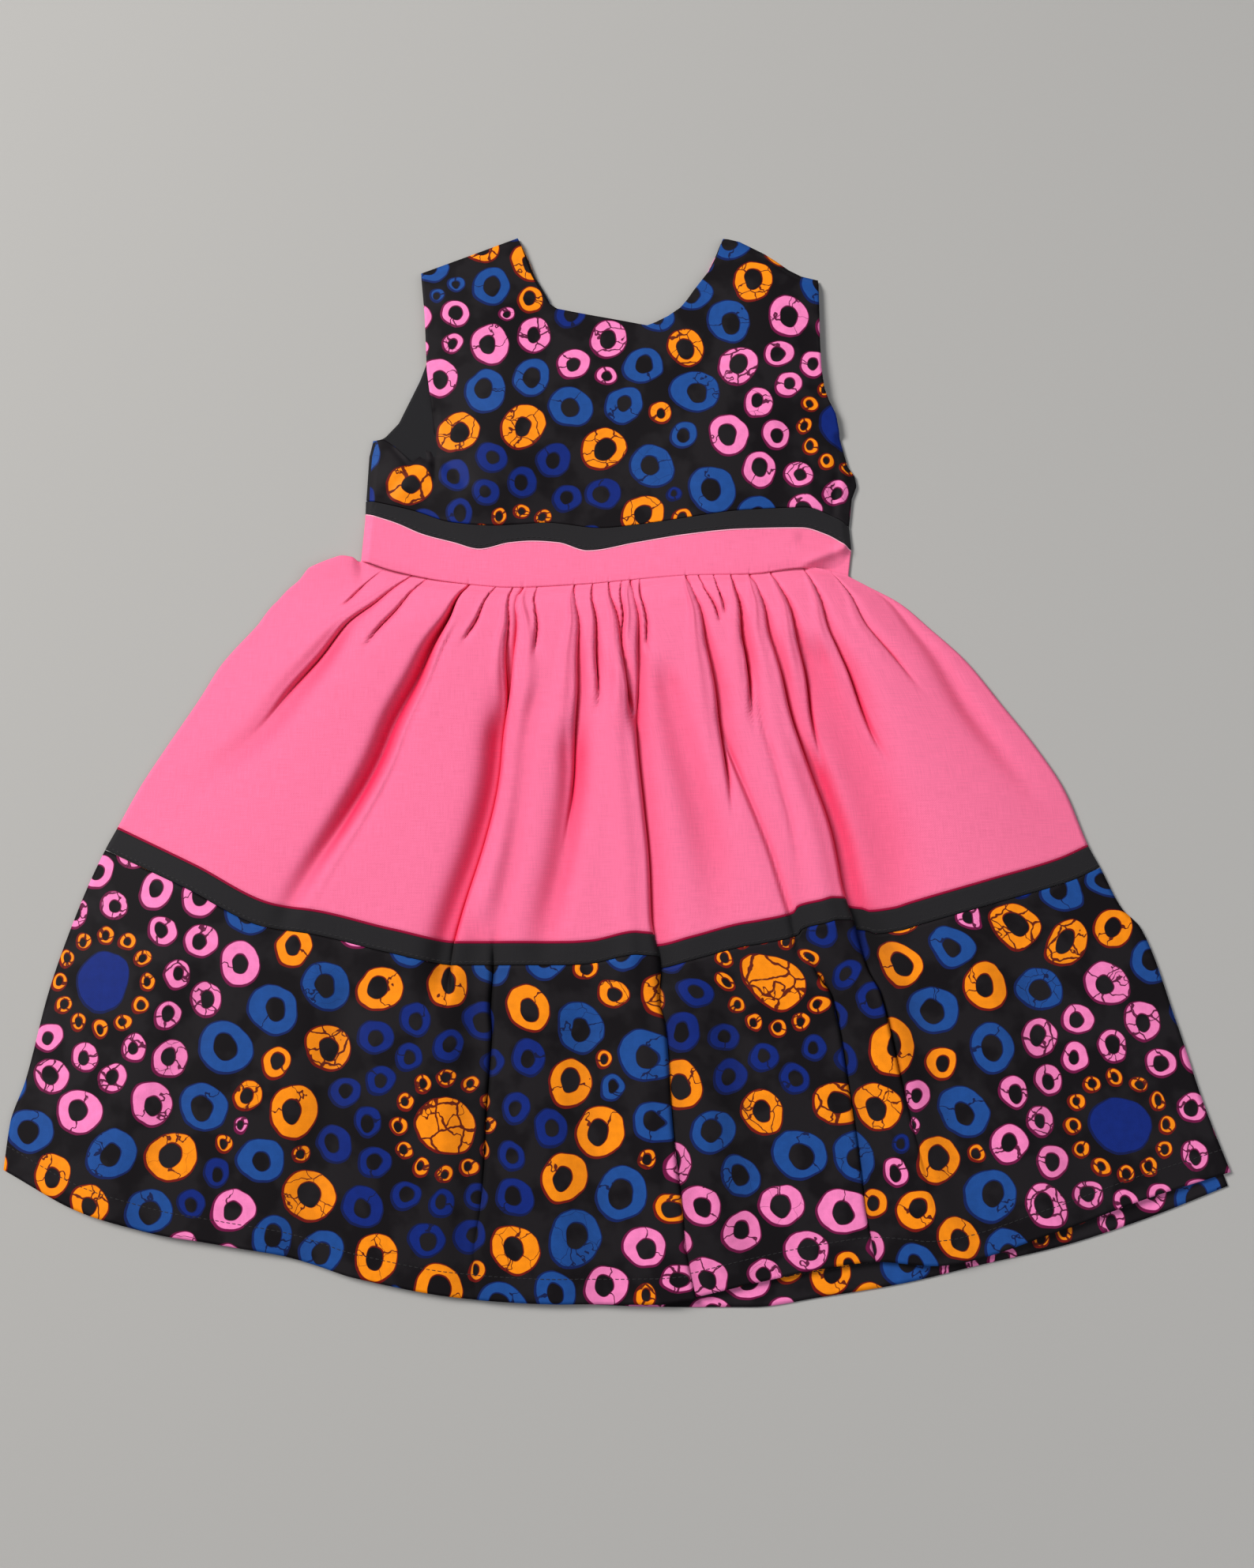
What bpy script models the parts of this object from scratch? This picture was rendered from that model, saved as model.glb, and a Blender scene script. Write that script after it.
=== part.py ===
"""A toddler's sleeveless dress in wax print and plain cotton, laid flat on its back.

The bodice, a black band, a pink waistband, a gathered pink skirt, a narrow black band and a
print hem tier each have a front and a back piece of cloth. The back lies flat on the floor, the
front lies on it, and the gathers stand up from it as soft ridges between creases.
Tables are in millimetres, with +X to the picture's right, +Y towards the neck and +Z up.
"""

import bpy
import numpy as np

METRE = 0.001
WALL = 1.2          # thickness of each cloth wall
LINING = 1.0        # thickness of the bodice lining
SEAM_GAP = 0.3      # space left between two pieces that are sewn together
BAND = 12.0         # width of the black band above the hem tier
PINK_LENGTH = 215.0
TIER_TOP = PINK_LENGTH + BAND
SKIRT_LENGTH = 408.0
CENTRE_BACK = -10.0
ZIP_WIDTH = 9.0
HEM_TUCK = 1.5      # how far the back's sides lie inside the front's

# Columns: distance down the cloth from the waist seam, x, y
SKIRT_LEFT = (
    (0, -155, 131), (12, -166, 125), (31, -180, 117), (57, -201, 106), (82, -218, 88), (106, -234, 69), (128, -245, 50), (166, -265, 18),
    (189, -277, -2), (215, -289, -26), (227, -295, -38), (260, -307, -68), (310, -322, -117),
    (361, -332, -166), (383, -339, -189), (408, -341, -214),
)
SKIRT_RIGHT = (
    (0, 129, 122), (15, 140, 116), (36, 158, 106), (59, 175, 91), (86, 195, 72),
    (119, 215, 46), (149, 233, 22), (180, 249, -4), (215, 261, -36), (227, 267, -48),
    (253, 278, -71), (268, 288, -82), (322, 305, -134), (370, 318, -180), (408, 330, -215),
)

# Columns: distance down the cloth, how far the gathers push the left side out, and up
LEFT_PUFF = ((0, 0, 0), (3, -1, 0), (10, -3, 5), (22, -4, 9), (31, -3, 6.5), (43, 0, 2), (57, 0, 0))
PUFF_REACH = 11.0

# Columns: x, y. Each seam or edge runs from the left side to the right side
BAND_SEAM = (
    (-153, 168), (-124, 161), (-102, 154), (-79, 152), (-46, 154), (-16, 151), (6, 153),
    (35, 157), (66, 161), (104, 163), (122, 157), (130, 152),
)
WAISTBAND_SEAM = (
    (-153, 160), (-135, 154), (-119, 147), (-101, 142), (-86, 138), (-68, 142), (-55, 143),
    (-40, 142), (-23, 137), (5, 142), (35, 147), (66, 150), (102, 151), (116, 147), (131, 138),
)
WAIST_SEAM = (
    (-155, 131), (-135, 124), (-101, 117), (-67, 114), (-25, 116), (9, 119), (34, 121),
    (71, 122), (103, 126), (129, 122),
)
TIER_SEAM = (
    (-289, -26), (-242, -48), (-197, -70), (-171, -74), (-130, -84), (-92, -91), (-33, -91),
    (-15, -90), (4, -86), (16, -92), (36, -88), (62, -81), (92, -75), (97, -72), (105, -68),
    (120, -66), (127, -72), (140, -73), (158, -69), (203, -56), (243, -44), (261, -36),
)
BACK_TIER_SEAM = (
    (-289, -26), (-242, -48), (-197, -69), (-130, -84), (-76, -91), (-15, -92), (36, -88),
    (92, -79), (150, -68), (203, -56), (243, -44), (261, -36),
)
FRONT_HEM = (
    (-341, -214), (-297, -235), (-231, -251), (-154, -269), (-77, -282), (-34, -284),
    (16, -284), (51, -277), (74, -272), (103, -266), (136, -262), (165, -264), (234, -246),
    (282, -229), (330, -215),
)
BACK_HEM = (
    (-341, -214), (-297, -234), (-231, -250), (-154, -268), (-77, -281), (-34, -284),
    (28, -286), (68, -286), (104, -281), (148, -274), (192, -264), (237, -254), (282, -240),
    (330, -222),
)

# Columns: x, y, from the shoulder down
FRONT_ARMHOLE = ((-124, 311), (-121, 283), (-119, 248), (-116, 227), (-114, 208))
FRONT_UNDERARM = ((-150, 205), (-143, 205), (-137, 201), (-127, 191), (-119, 198), (-114, 208))
LEFT_SIDE = ((-150, 205), (-152, 195), (-153, 168))
RIGHT_SIDE = (
    (115, 307), (116, 268), (118, 238), (125, 204), (130, 189), (134, 183), (135, 177),
    (132, 169), (130, 152),
)
BACK_ARMHOLE_LEFT = (
    (-122, 309), (-118, 283), (-118, 258), (-122, 243), (-126, 234), (-134, 216), (-143, 207),
    (-150, 204), (-152, 195), (-153, 168),
)
BACK_ARMHOLE_RIGHT = (
    (113, 305), (114, 268), (115, 238), (120, 210), (127, 190), (131, 180), (129, 166),
    (129, 152),
)

# Columns: x, y, from the left shoulder to the right one
FRONT_TOP = (
    (-124, 311), (-96, 322), (-66, 334), (-55, 311), (-45, 291), (-30, 287), (-7, 282),
    (12, 278), (29, 283), (42, 294), (46, 303), (52, 319), (58, 332), (82, 320), (115, 307),
)
BACK_TOP_LEFT = ((-122, 309), (-95, 320), (-64, 331), (-50, 306), (-37, 284), (-10, 262))
BACK_TOP_RIGHT = ((-10, 262), (14, 272), (32, 297), (43, 318), (56, 329), (81, 318), (113, 305))

# Columns: name, place across the skirt at the waist, at mid skirt and at the band (0 is the left
# side and 1 the right), how far down the crease reaches, its depth, its half width
GATHERS = (
    ("side_left", 0.047, 0.085, 0.100, 45, 2.0, 4.0),
    ("left_sweep", 0.105, 0.120, 0.125, 175, 4.0, 4.5),
    ("left_short", 0.137, 0.158, 0.165, 60, 2.5, 3.5),
    ("left_main", 0.225, 0.231, 0.188, 225, 6.0, 5.0),
    ("left_nip", 0.272, 0.290, 0.270, 50, 3.0, 3.0),
    ("inner_branch", 0.314, 0.360, 0.335, 105, 3.0, 3.0),
    ("inner_main", 0.338, 0.376, 0.353, 240, 6.5, 4.0),
    ("inner_nip", 0.366, 0.394, 0.392, 55, 2.5, 3.0),
    ("middle_left", 0.439, 0.459, 0.442, 225, 5.0, 4.5),
    ("middle_nip", 0.475, 0.490, 0.480, 95, 3.0, 3.0),
    ("centre_branch", 0.506, 0.513, 0.505, 125, 3.5, 3.0),
    ("centre_nip", 0.531, 0.526, 0.526, 50, 2.5, 2.6),
    ("centre_main", 0.552, 0.539, 0.547, 700, 7.5, 4.5),
    ("centre_right", 0.572, 0.566, 0.580, 60, 3.0, 3.0),
    ("right_deep", 0.665, 0.646, 0.640, 155, 5.5, 4.0),
    ("right_dimple", 0.691, 0.672, 0.665, 50, 3.0, 3.0),
    ("right_nip", 0.721, 0.689, 0.690, 42, 2.5, 3.0),
    ("right_soft", 0.756, 0.705, 0.710, 110, 3.0, 3.5),
    ("right_main", 0.795, 0.737, 0.747, 250, 6.0, 4.5),
    ("outer_soft", 0.836, 0.768, 0.785, 135, 3.5, 4.0),
    ("outer_mid", 0.904, 0.832, 0.850, 135, 3.5, 4.5),
    ("outer_side", 0.960, 0.900, 0.915, 100, 3.0, 4.0),
)

# Columns: name, place across at the band, at mid tier and at the hem, where it starts down the
# cloth, where it ends, its depth, its half width
TIER_FOLDS = (
    ("far_left", 0.130, 0.120, 0.110, 250, 408, 1.5, 12.0),
    ("left_hollow", 0.255, 0.250, 0.240, 240, 408, 2.0, 12.0),
    ("left_fold", 0.391, 0.391, 0.386, 205, 400, 4.5, 6.5),
    ("centre_fold", 0.547, 0.551, 0.559, 205, 700, 6.5, 7.0),
    ("right_valley", 0.640, 0.630, 0.625, 240, 408, 2.0, 12.0),
    ("right_fold", 0.699, 0.706, 0.706, 245, 430, 5.0, 7.0),
    ("right_kink", 0.745, 0.756, 0.770, 205, 345, 3.5, 6.0),
    ("far_right", 0.870, 0.875, 0.880, 240, 408, 2.0, 12.0),
)

# Columns: distance down the cloth, how high the front puffs above the back
PUFF = (
    (0, 3.0), (2, 3.0), (9, 6.0), (25, 9.0), (60, 9.5), (110, 8.5), (160, 7.5), (215, 6.5), (300, 5.5),
    (380, 4.5), (408, 3.0),
)
SIDE_SLOPE = 75.0   # width over which the front falls to the back at each side
EDGE_REST = WALL + SEAM_GAP
LINED_REST = WALL + SEAM_GAP + LINING + SEAM_GAP

# Columns: x, y, height of a soft swelling of the bodice front, its radius
BODICE_SWELLS = (
    (-90, 290, 2.5, 26), (85, 295, 2.5, 26), (-60, 225, 4.0, 42), (20, 225, 3.0, 46),
    (88, 235, 4.5, 36), (-85, 178, 3.0, 26), (60, 185, 3.5, 36), (-133, 180, 3.5, 14),
    (112, 178, 3.0, 16),
)

PINK_ROWS = (0, 2, 7, 15, 26, 42, 62, 86, 112, 140, 168, 192, 215)
BAND_ROWS = (215, 221, 227)
TIER_ROWS = (227, 231, 255, 285, 320, 355, 385, 408)
BACK_PINK_ROWS = (0, 4, 12, 26, 62, 112, 168, 215)
BACK_TIER_ROWS = (227, 270, 330, 385, 408)
FOLD_STEPS = (0.0, 0.28, 0.72)
BACK_COLUMNS = 32
STATION = 7.0       # spacing of the columns that the pieces on both sides of a waist seam share

PINK = (0.95, 0.14, 0.31)
BLACK = (0.012, 0.012, 0.014)
PRINT = (0.02, 0.03, 0.12)
TAPE = (0.03, 0.03, 0.032)


def smooth_step(t):
    """0 below 0, 1 above 1, and a smooth turn between them."""
    t = np.clip(t, 0, 1)
    return t * t * (3 - 2 * t)


def read(rows, at, column):
    """A column of a table, read along a smooth curve through its rows.

    The slope at a row is the harmonic mean of the slopes beside it, or flat where they turn, so
    the curve never passes beyond two rows between them.
    """
    rows = np.array(rows, float)
    key, value = rows[:, 0], rows[:, column]
    step = np.diff(key)
    rise = np.diff(value) / step
    product, total = rise[1:] * rise[:-1], rise[1:] + rise[:-1]
    inner = np.where(product > 0, 2 * product / np.where(total == 0, 1, total), 0)
    slope = np.concatenate([rise[:1], inner, rise[-1:]])
    at = np.clip(at, key[0], key[-1])
    i = np.clip(np.searchsorted(key, at, "right") - 1, 0, len(step) - 1)
    t = (at - key[i]) / step[i]
    ends = value[i] + (value[i + 1] - value[i]) * t * t * (3 - 2 * t)
    bend = slope[i] * (1 - t) - slope[i + 1] * t
    return ends + step[i] * t * (1 - t) * bend


def along(rows, shares):
    """Points at the given shares of the length of a line of x, y rows."""
    rows = np.array(rows, float)
    run = np.concatenate([[0], np.cumsum(np.hypot(*np.diff(rows, axis=0).T))])
    at = np.asarray(shares, float) * run[-1]
    return np.stack([np.interp(at, run, rows[:, i]) for i in (0, 1)], axis=-1)


def patch(bottom, top, left, right):
    """A flat grid between four edges: the two ruled grids added, less the corners' grid."""
    across = np.linspace(0, 1, len(bottom))[None, :, None]
    up = np.linspace(0, 1, len(left))[:, None, None]
    sides = left[:, None] * (1 - across) + right[:, None] * across
    ends = bottom[None] * (1 - up) + top[None] * up
    corners = (bottom[0] * (1 - up) + top[0] * up) * (1 - across) + (
        bottom[-1] * (1 - up) + top[-1] * up
    ) * across
    return sides + ends - corners


def skirt_plan(across, down, tier_seam, hem):
    """Where a point of the skirt lies on the floor, from its place across and down the cloth.

    The sides come from their tables, and between them the cloth runs straight across, moved so
    that the waist seam, the tier seam and the hem lie on theirs.
    """
    left = [read(SKIRT_LEFT, down, i) for i in (1, 2)]
    right = [read(SKIRT_RIGHT, down, i) for i in (1, 2)]
    x = left[0] + across * (right[0] - left[0])
    y = left[1] + across * (right[1] - left[1])

    def bow(seam, level):
        """How far a seam lies from the straight line between its ends."""
        start = [read(SKIRT_LEFT, level, i) for i in (1, 2)]
        end = [read(SKIRT_RIGHT, level, i) for i in (1, 2)]
        seam_x = start[0] + across * (end[0] - start[0])
        return read(seam, seam_x, 1) - start[1] - across * (end[1] - start[1])

    waist = bow(WAIST_SEAM, 0)
    tier = bow(tier_seam, PINK_LENGTH)
    edge = bow(hem, SKIRT_LENGTH)
    pink = waist + (tier - waist) * np.clip(down / PINK_LENGTH, 0, 1)
    below = (edge - tier) * np.clip((down - TIER_TOP) / (SKIRT_LENGTH - TIER_TOP), 0, 1)
    near_side = np.exp(-((across * (right[0] - left[0]) / PUFF_REACH) ** 2))
    x = x + near_side * read(LEFT_PUFF, down, 1)
    return x, y + pink + below + near_side * read(LEFT_PUFF, down, 2)


def skirt_width(down):
    return read(SKIRT_RIGHT, down, 1) - read(SKIRT_LEFT, down, 1)


def crease(offset, half_width):
    """A trough that is steep on its left and gentle on its right, with a lip on the left."""
    reach = np.where(offset < 0, half_width, 2.4 * half_width)
    lip = 0.30 * np.exp(-(((offset + 2.2 * half_width) / (1.3 * half_width)) ** 2))
    return np.exp(-((offset / reach) ** 2)) - lip


def gather_place(fold, down):
    """Where a gather's crease lies across the skirt at a distance down the cloth."""
    return np.interp(down, (0, PINK_LENGTH / 2, PINK_LENGTH), fold[1:4])


def tier_place(fold, down):
    middle = (TIER_TOP + SKIRT_LENGTH) / 2
    return np.interp(down, (PINK_LENGTH, middle, SKIRT_LENGTH), fold[1:4])


def skirt_rise(across, down):
    """Height of the front skirt's underside: a puff, pressed down along each crease."""
    width = skirt_width(down)
    side = np.minimum(across, 1 - across) * width / SIDE_SLOPE
    puff = read(PUFF, down, 1) * np.sin(np.pi / 2 * np.clip(side, 0, 1))
    pressed = np.zeros_like(puff)
    for fold in GATHERS:
        reach, depth, half_width = fold[4:]
        start = 0.45 + 0.55 * smooth_step(down / 12)
        end = 1 - smooth_step((down - 0.5 * reach) / (0.5 * reach))
        end = end * (1 - smooth_step((down - TIER_TOP) / 30))
        offset = (across - gather_place(fold, down)) * width
        pressed += depth * start * end * crease(offset, half_width * (1 + down / 160))
    for fold in TIER_FOLDS:
        first, last, depth, half_width = fold[4:]
        start = smooth_step((down - first) / 35)
        end = 1 - smooth_step((down - 0.7 * last) / (0.3 * last))
        offset = (across - tier_place(fold, down)) * width
        pressed += depth * start * end * crease(offset, half_width)
    lined = (1 - smooth_step(down / 25)) * np.clip(side, 0, 1)
    floor = EDGE_REST + (LINED_REST - EDGE_REST) * lined
    return floor + puff * np.exp(-pressed / np.maximum(puff, 0.5))


def bodice_rise(x, y):
    """Height of the bodice front's underside: round swellings over the lined back."""
    rise = np.full_like(x, LINED_REST)
    for cx, cy, height, radius in BODICE_SWELLS:
        rise += height * np.exp(-(((x - cx) ** 2 + (y - cy) ** 2) / radius**2))
    return rise


def wave(seam_share):
    """The waist pieces' gentle swelling, which ends in the skirt's own height at the waist."""
    return skirt_rise(seam_share, np.zeros_like(seam_share))


def material(name, colour, roughness):
    made = bpy.data.materials.new(name)
    made.use_nodes = True
    shader = made.node_tree.nodes["Principled BSDF"]
    shader.inputs["Base Color"].default_value = (*colour, 1)
    shader.inputs["Roughness"].default_value = roughness
    shader.inputs["Metallic"].default_value = 0
    return made


def cloth(name, grids, colour, thickness=WALL):
    """One cloth wall: its grids welded edge to edge, lifted by Solidify from their underside."""
    points, faces = [], []
    for grid in grids:
        rows, columns = grid.shape[:2]
        first = sum(len(p) for p in points)
        index = first + np.arange(rows * columns).reshape(rows, columns)
        corners = (index[:-1, :-1], index[:-1, 1:], index[1:, 1:], index[1:, :-1])
        faces += np.stack(corners, axis=-1).reshape(-1, 4).tolist()
        points.append(grid.reshape(-1, 3))
    mesh = bpy.data.meshes.new(name)
    mesh.from_pydata((np.concatenate(points) - ORIGIN) * METRE, [], faces)
    mesh.update()
    mesh.materials.append(material(name, colour, 0.85))
    mesh.shade_smooth()
    piece = bpy.data.objects.new(name, mesh)
    DRESS.objects.link(piece)
    weld = piece.modifiers.new("weld", "WELD")
    weld.merge_threshold = 0.00001
    wall = piece.modifiers.new("wall", "SOLIDIFY")
    wall.thickness = thickness * METRE
    wall.offset = 1
    return piece


def lifted(flat, height):
    """A flat grid of x, y with a height for each point."""
    height = np.broadcast_to(height, flat.shape[:2])
    return np.concatenate([flat, height[..., None]], axis=-1)


def fold_columns(down):
    """Places across the skirt of a grid's columns: one on each crease, and some between."""
    lines = [np.zeros_like(down)]
    lines += [gather_place(fold, down) for fold in GATHERS] + [np.ones_like(down)]
    columns = []
    for here, after in zip(lines[:-1], lines[1:]):
        columns += [here + step * (after - here) for step in FOLD_STEPS]
    return np.stack(columns + [lines[-1]], axis=-1)


def rows_between(rows):
    """Distances down the cloth of a piece's rows, half a seam's gap inside each seam."""
    down = np.array(rows, float)
    down[0] += SEAM_GAP / 2
    down[-1] -= SEAM_GAP / 2 if rows[-1] < SKIRT_LENGTH else 0
    return down


def skirt_front():
    for name, rows, colour in (
        ("front_skirt", PINK_ROWS, PINK),
        ("front_hem_band", BAND_ROWS, BLACK),
        ("front_hem_tier", TIER_ROWS, PRINT),
    ):
        across = fold_columns(rows_between(rows))
        down = np.repeat(rows_between(rows)[:, None], across.shape[1], axis=1)
        flat = np.stack(skirt_plan(across, down, TIER_SEAM, FRONT_HEM), axis=-1)
        # Rows run down the cloth, so they are turned over to make the faces look up
        cloth(name, [lifted(flat, skirt_rise(across, down))[::-1]], colour)


def skirt_back():
    """The back lies flat under the front and is cut the same, but for its longer hem."""
    for name, rows, colour in (
        ("back_skirt", BACK_PINK_ROWS, PINK),
        ("back_hem_band", BAND_ROWS[::2], BLACK),
        ("back_hem_tier", BACK_TIER_ROWS, PRINT),
    ):
        down = np.repeat(rows_between(rows)[:, None], BACK_COLUMNS, axis=1)
        tuck = HEM_TUCK / skirt_width(down)
        across = tuck + (1 - 2 * tuck) * np.linspace(0, 1, BACK_COLUMNS)
        flat = np.stack(skirt_plan(across, down, BACK_TIER_SEAM, BACK_HEM), axis=-1)
        cloth(name, [lifted(flat, 0.0)[::-1]], colour)


def stations(start, end):
    """The shared columns between two places on a seam, and the two places themselves."""
    inner = np.arange(np.ceil(start / STATION + 0.3), end / STATION - 0.3) * STATION
    return np.concatenate([[start], inner, [end]])


def strip(lower, upper, x, rise):
    """A band between two seams with its columns at the given x, half a gap inside each seam."""
    low = np.stack([x, read(lower, x, 1) + SEAM_GAP / 2], axis=-1)
    high = np.stack([x, read(upper, x, 1) - SEAM_GAP / 2], axis=-1)
    up = np.linspace(0, 1, 3)[:, None, None]
    flat = low[None] * (1 - up) + high[None] * up
    return lifted(flat, rise(flat[..., 0], flat[..., 1]))


def waist_pieces():
    """The black band and the pink waistband, front and back, the back ones in two halves."""
    left, right = WAIST_SEAM[0][0], WAIST_SEAM[-1][0]

    def front_rise(x, y):
        share = (x - left) / (right - left)
        height = wave(share)
        seam = read(WAIST_SEAM, x, 1)
        up = smooth_step((y - seam) / (read(BAND_SEAM, x, 1) - seam))
        return height + (bodice_rise(x, y) - height) * up

    def flat_rise(x, y):
        return np.zeros_like(x)

    halves = (
        ("left", left + HEM_TUCK, CENTRE_BACK - SEAM_GAP / 2),
        ("right", CENTRE_BACK + SEAM_GAP / 2, right - HEM_TUCK),
    )
    for name, lower, upper, colour in (
        ("waistband", WAIST_SEAM, WAISTBAND_SEAM, PINK),
        ("bodice_band", WAISTBAND_SEAM, BAND_SEAM, BLACK),
    ):
        grid = strip(lower, upper, stations(left, right), front_rise)
        cloth("front_" + name, [grid], colour)
        for side, start, end in halves:
            grid = strip(lower, upper, stations(start, end), flat_rise)
            cloth(f"back_{name}_{side}", [grid], colour)


def bodice_front():
    """The front panel, with the flap of cloth under the left arm welded to its side."""
    rows, flap_rows = 12, 5
    corner = np.array(FRONT_UNDERARM[-1], float)
    foot = np.array([corner[0], read(BAND_SEAM, corner[0], 1) + SEAM_GAP / 2])
    right_foot = np.array(RIGHT_SIDE[-1], float)
    x = stations(foot[0], right_foot[0])
    bottom = np.stack([x, read(BAND_SEAM, x, 1) + SEAM_GAP / 2], axis=-1)
    top = along(FRONT_TOP, np.linspace(0, 1, len(x)))
    inner = along((foot, corner), np.linspace(0, 1, flap_rows))
    armhole = along(FRONT_ARMHOLE[::-1], np.linspace(0, 1, rows - flap_rows + 1))
    left = np.concatenate([inner, armhole[1:]])
    right = along(RIGHT_SIDE[::-1], np.linspace(0, 1, rows))
    left[0], right[0] = bottom[0], bottom[-1]
    panel = patch(bottom, top, left, right)

    x = stations(BAND_SEAM[0][0], foot[0])
    bottom = np.stack([x, read(BAND_SEAM, x, 1) + SEAM_GAP / 2], axis=-1)
    top = along(FRONT_UNDERARM, np.linspace(0, 1, len(x)))
    side = along(LEFT_SIDE[::-1], np.linspace(0, 1, flap_rows))
    side[0] = bottom[0]
    flap = patch(bottom, top, side, inner)
    grids = [lifted(flat, bodice_rise(flat[..., 0], flat[..., 1])) for flat in (panel, flap)]
    cloth("front_bodice", grids, PRINT)


def bodice_back():
    """Each half of the back and its lining, with a concealed zip between the linings."""
    rows = 8

    def half(side_edge, top_edge, centre, inset):
        """A half of the back from its side to the centre, inset at the side and the neck."""
        side = along(side_edge[::-1], np.linspace(0, 1, rows))
        side_on_left = side_edge is BACK_ARMHOLE_LEFT
        x = stations(*sorted((side[0, 0], centre)))
        top = along(top_edge, np.linspace(0, 1, len(x)))
        top[-1 if side_on_left else 0, 0] = centre
        bottom = np.stack([x, read(BAND_SEAM, x, 1) + SEAM_GAP / 2], axis=-1)
        middle = along((bottom[-1], top[-1]) if side_on_left else (bottom[0], top[0]),
                       np.linspace(0, 1, rows))
        side[0] = bottom[0 if side_on_left else -1]
        left, right = (side, middle) if side_on_left else (middle, side)
        flat = patch(bottom, top, left, right)
        flat[:, :, 1] -= inset * np.linspace(0, 1, rows)[:, None]
        return flat

    zip_edge = ZIP_WIDTH / 2 + SEAM_GAP
    for name, side_edge, top_edge, way in (
        ("left", BACK_ARMHOLE_LEFT, BACK_TOP_LEFT, -1),
        ("right", BACK_ARMHOLE_RIGHT, BACK_TOP_RIGHT, 1),
    ):
        outer = half(side_edge, top_edge, CENTRE_BACK + way * SEAM_GAP / 2, 0.0)
        cloth("back_bodice_" + name, [lifted(outer, 0.0)], PRINT)
        inner = half(side_edge, top_edge, CENTRE_BACK + way * zip_edge, 1.0)
        cloth("back_lining_" + name, [lifted(inner, EDGE_REST)], BLACK, LINING)

    zip_end = read(WAIST_SEAM, CENTRE_BACK, 1) + 2
    zip_top = BACK_TOP_LEFT[-1][1] - 4
    x = CENTRE_BACK + np.linspace(-ZIP_WIDTH / 2, ZIP_WIDTH / 2, 3)
    y = np.linspace(zip_end, zip_top, 8)
    flat = np.stack(np.meshgrid(x, y), axis=-1)
    cloth("back_zip_tape", [lifted(flat, EDGE_REST)], TAPE, LINING)


def garment_centre():
    """Middle of the garment's length and width, from its own outline."""
    x = [row[1] for row in SKIRT_LEFT + SKIRT_RIGHT]
    y = [row[1] for row in BACK_HEM + FRONT_TOP]
    return np.array([(min(x) + max(x)) / 2, (min(y) + max(y)) / 2, 0.0])


for old in list(bpy.data.objects):
    bpy.data.objects.remove(old, do_unlink=True)
DRESS = bpy.data.collections.new("wax_print_dress")
bpy.context.scene.collection.children.link(DRESS)
ORIGIN = garment_centre()

skirt_back()
bodice_back()
waist_pieces()
bodice_front()
skirt_front()
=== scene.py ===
# %% [markdown]
# # A toddler's wax print dress, laid flat
# The dress lies on its back with the front up. Its solids already hold the cut and the main
# folds, so this lesson gives each one a thin cloth that looks sewn, printed and gathered.
# First the finished solids are loaded.

# %% Load the solids
import math

import bpy
import numpy as np
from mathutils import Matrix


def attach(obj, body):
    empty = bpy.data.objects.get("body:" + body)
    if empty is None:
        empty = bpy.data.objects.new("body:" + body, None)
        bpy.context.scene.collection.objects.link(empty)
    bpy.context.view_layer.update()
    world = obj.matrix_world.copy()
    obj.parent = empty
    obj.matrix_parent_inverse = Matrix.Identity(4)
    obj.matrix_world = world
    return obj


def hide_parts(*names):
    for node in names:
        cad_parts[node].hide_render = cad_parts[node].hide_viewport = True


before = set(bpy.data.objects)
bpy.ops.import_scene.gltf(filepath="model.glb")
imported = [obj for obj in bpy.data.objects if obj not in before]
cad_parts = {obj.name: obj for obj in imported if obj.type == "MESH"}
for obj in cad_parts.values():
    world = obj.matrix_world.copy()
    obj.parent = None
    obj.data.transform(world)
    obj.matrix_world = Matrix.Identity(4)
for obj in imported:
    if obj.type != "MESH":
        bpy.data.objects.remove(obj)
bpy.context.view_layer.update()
MM = 0.001

# %% [markdown]
# ## Sizes of the cut
# A dressmaker would lay the dress on squared paper and note where each seam runs. The tables do
# the same, in millimetres, with X to the picture's right and Y towards the neck. A smooth curve
# through the rows keeps every seam free of corners, as a sewn seam is.

# %% Tables of the outline and the seams
BAND = 12.0             # the black band between the pink skirt and the tier
PINK_LENGTH = 215.0
TIER_TOP = PINK_LENGTH + BAND
SKIRT_LENGTH = 408.0
CENTRE_BACK = -10.0     # X of the back's opening
SEAM_GAP = 0.3

# Columns: distance down the cloth from the waist seam, x, y
SKIRT_LEFT = (
    (0, -155, 131), (12, -166, 125), (31, -180, 117), (57, -201, 106), (82, -218, 88),
    (106, -234, 69), (128, -245, 50), (166, -265, 18), (189, -277, -2), (215, -289, -26),
    (227, -295, -38), (260, -307, -68), (310, -322, -117), (361, -332, -166), (383, -339, -189),
    (408, -341, -214),
)
SKIRT_RIGHT = (
    (0, 129, 122), (15, 140, 116), (36, 158, 106), (59, 175, 91), (86, 195, 72),
    (119, 215, 46), (149, 233, 22), (180, 249, -4), (215, 261, -36), (227, 267, -48),
    (253, 278, -71), (268, 288, -82), (322, 305, -134), (370, 318, -180), (408, 330, -215),
)
# Columns: distance down the cloth, how far the gathers push the left side to the right, up the
# picture, and off the floor
LEFT_PUFF = (
    (0, 0, 0, 0), (2, -0.3, 1.5, 0.5), (5, -0.7, 4.9, 1.4), (13, -1.8, 8.9, 2.4), (22, -3.9, 9.3, 2.6),
    (30, -5.2, 9.4, 2.2), (39, -4.4, 5.2, 1.3), (44, -4.9, 3.2, 0.9), (57, -3.0, 0, 0.3), (75, 0, 0, 0),
)
PUFF_REACH = 11.0

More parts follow.
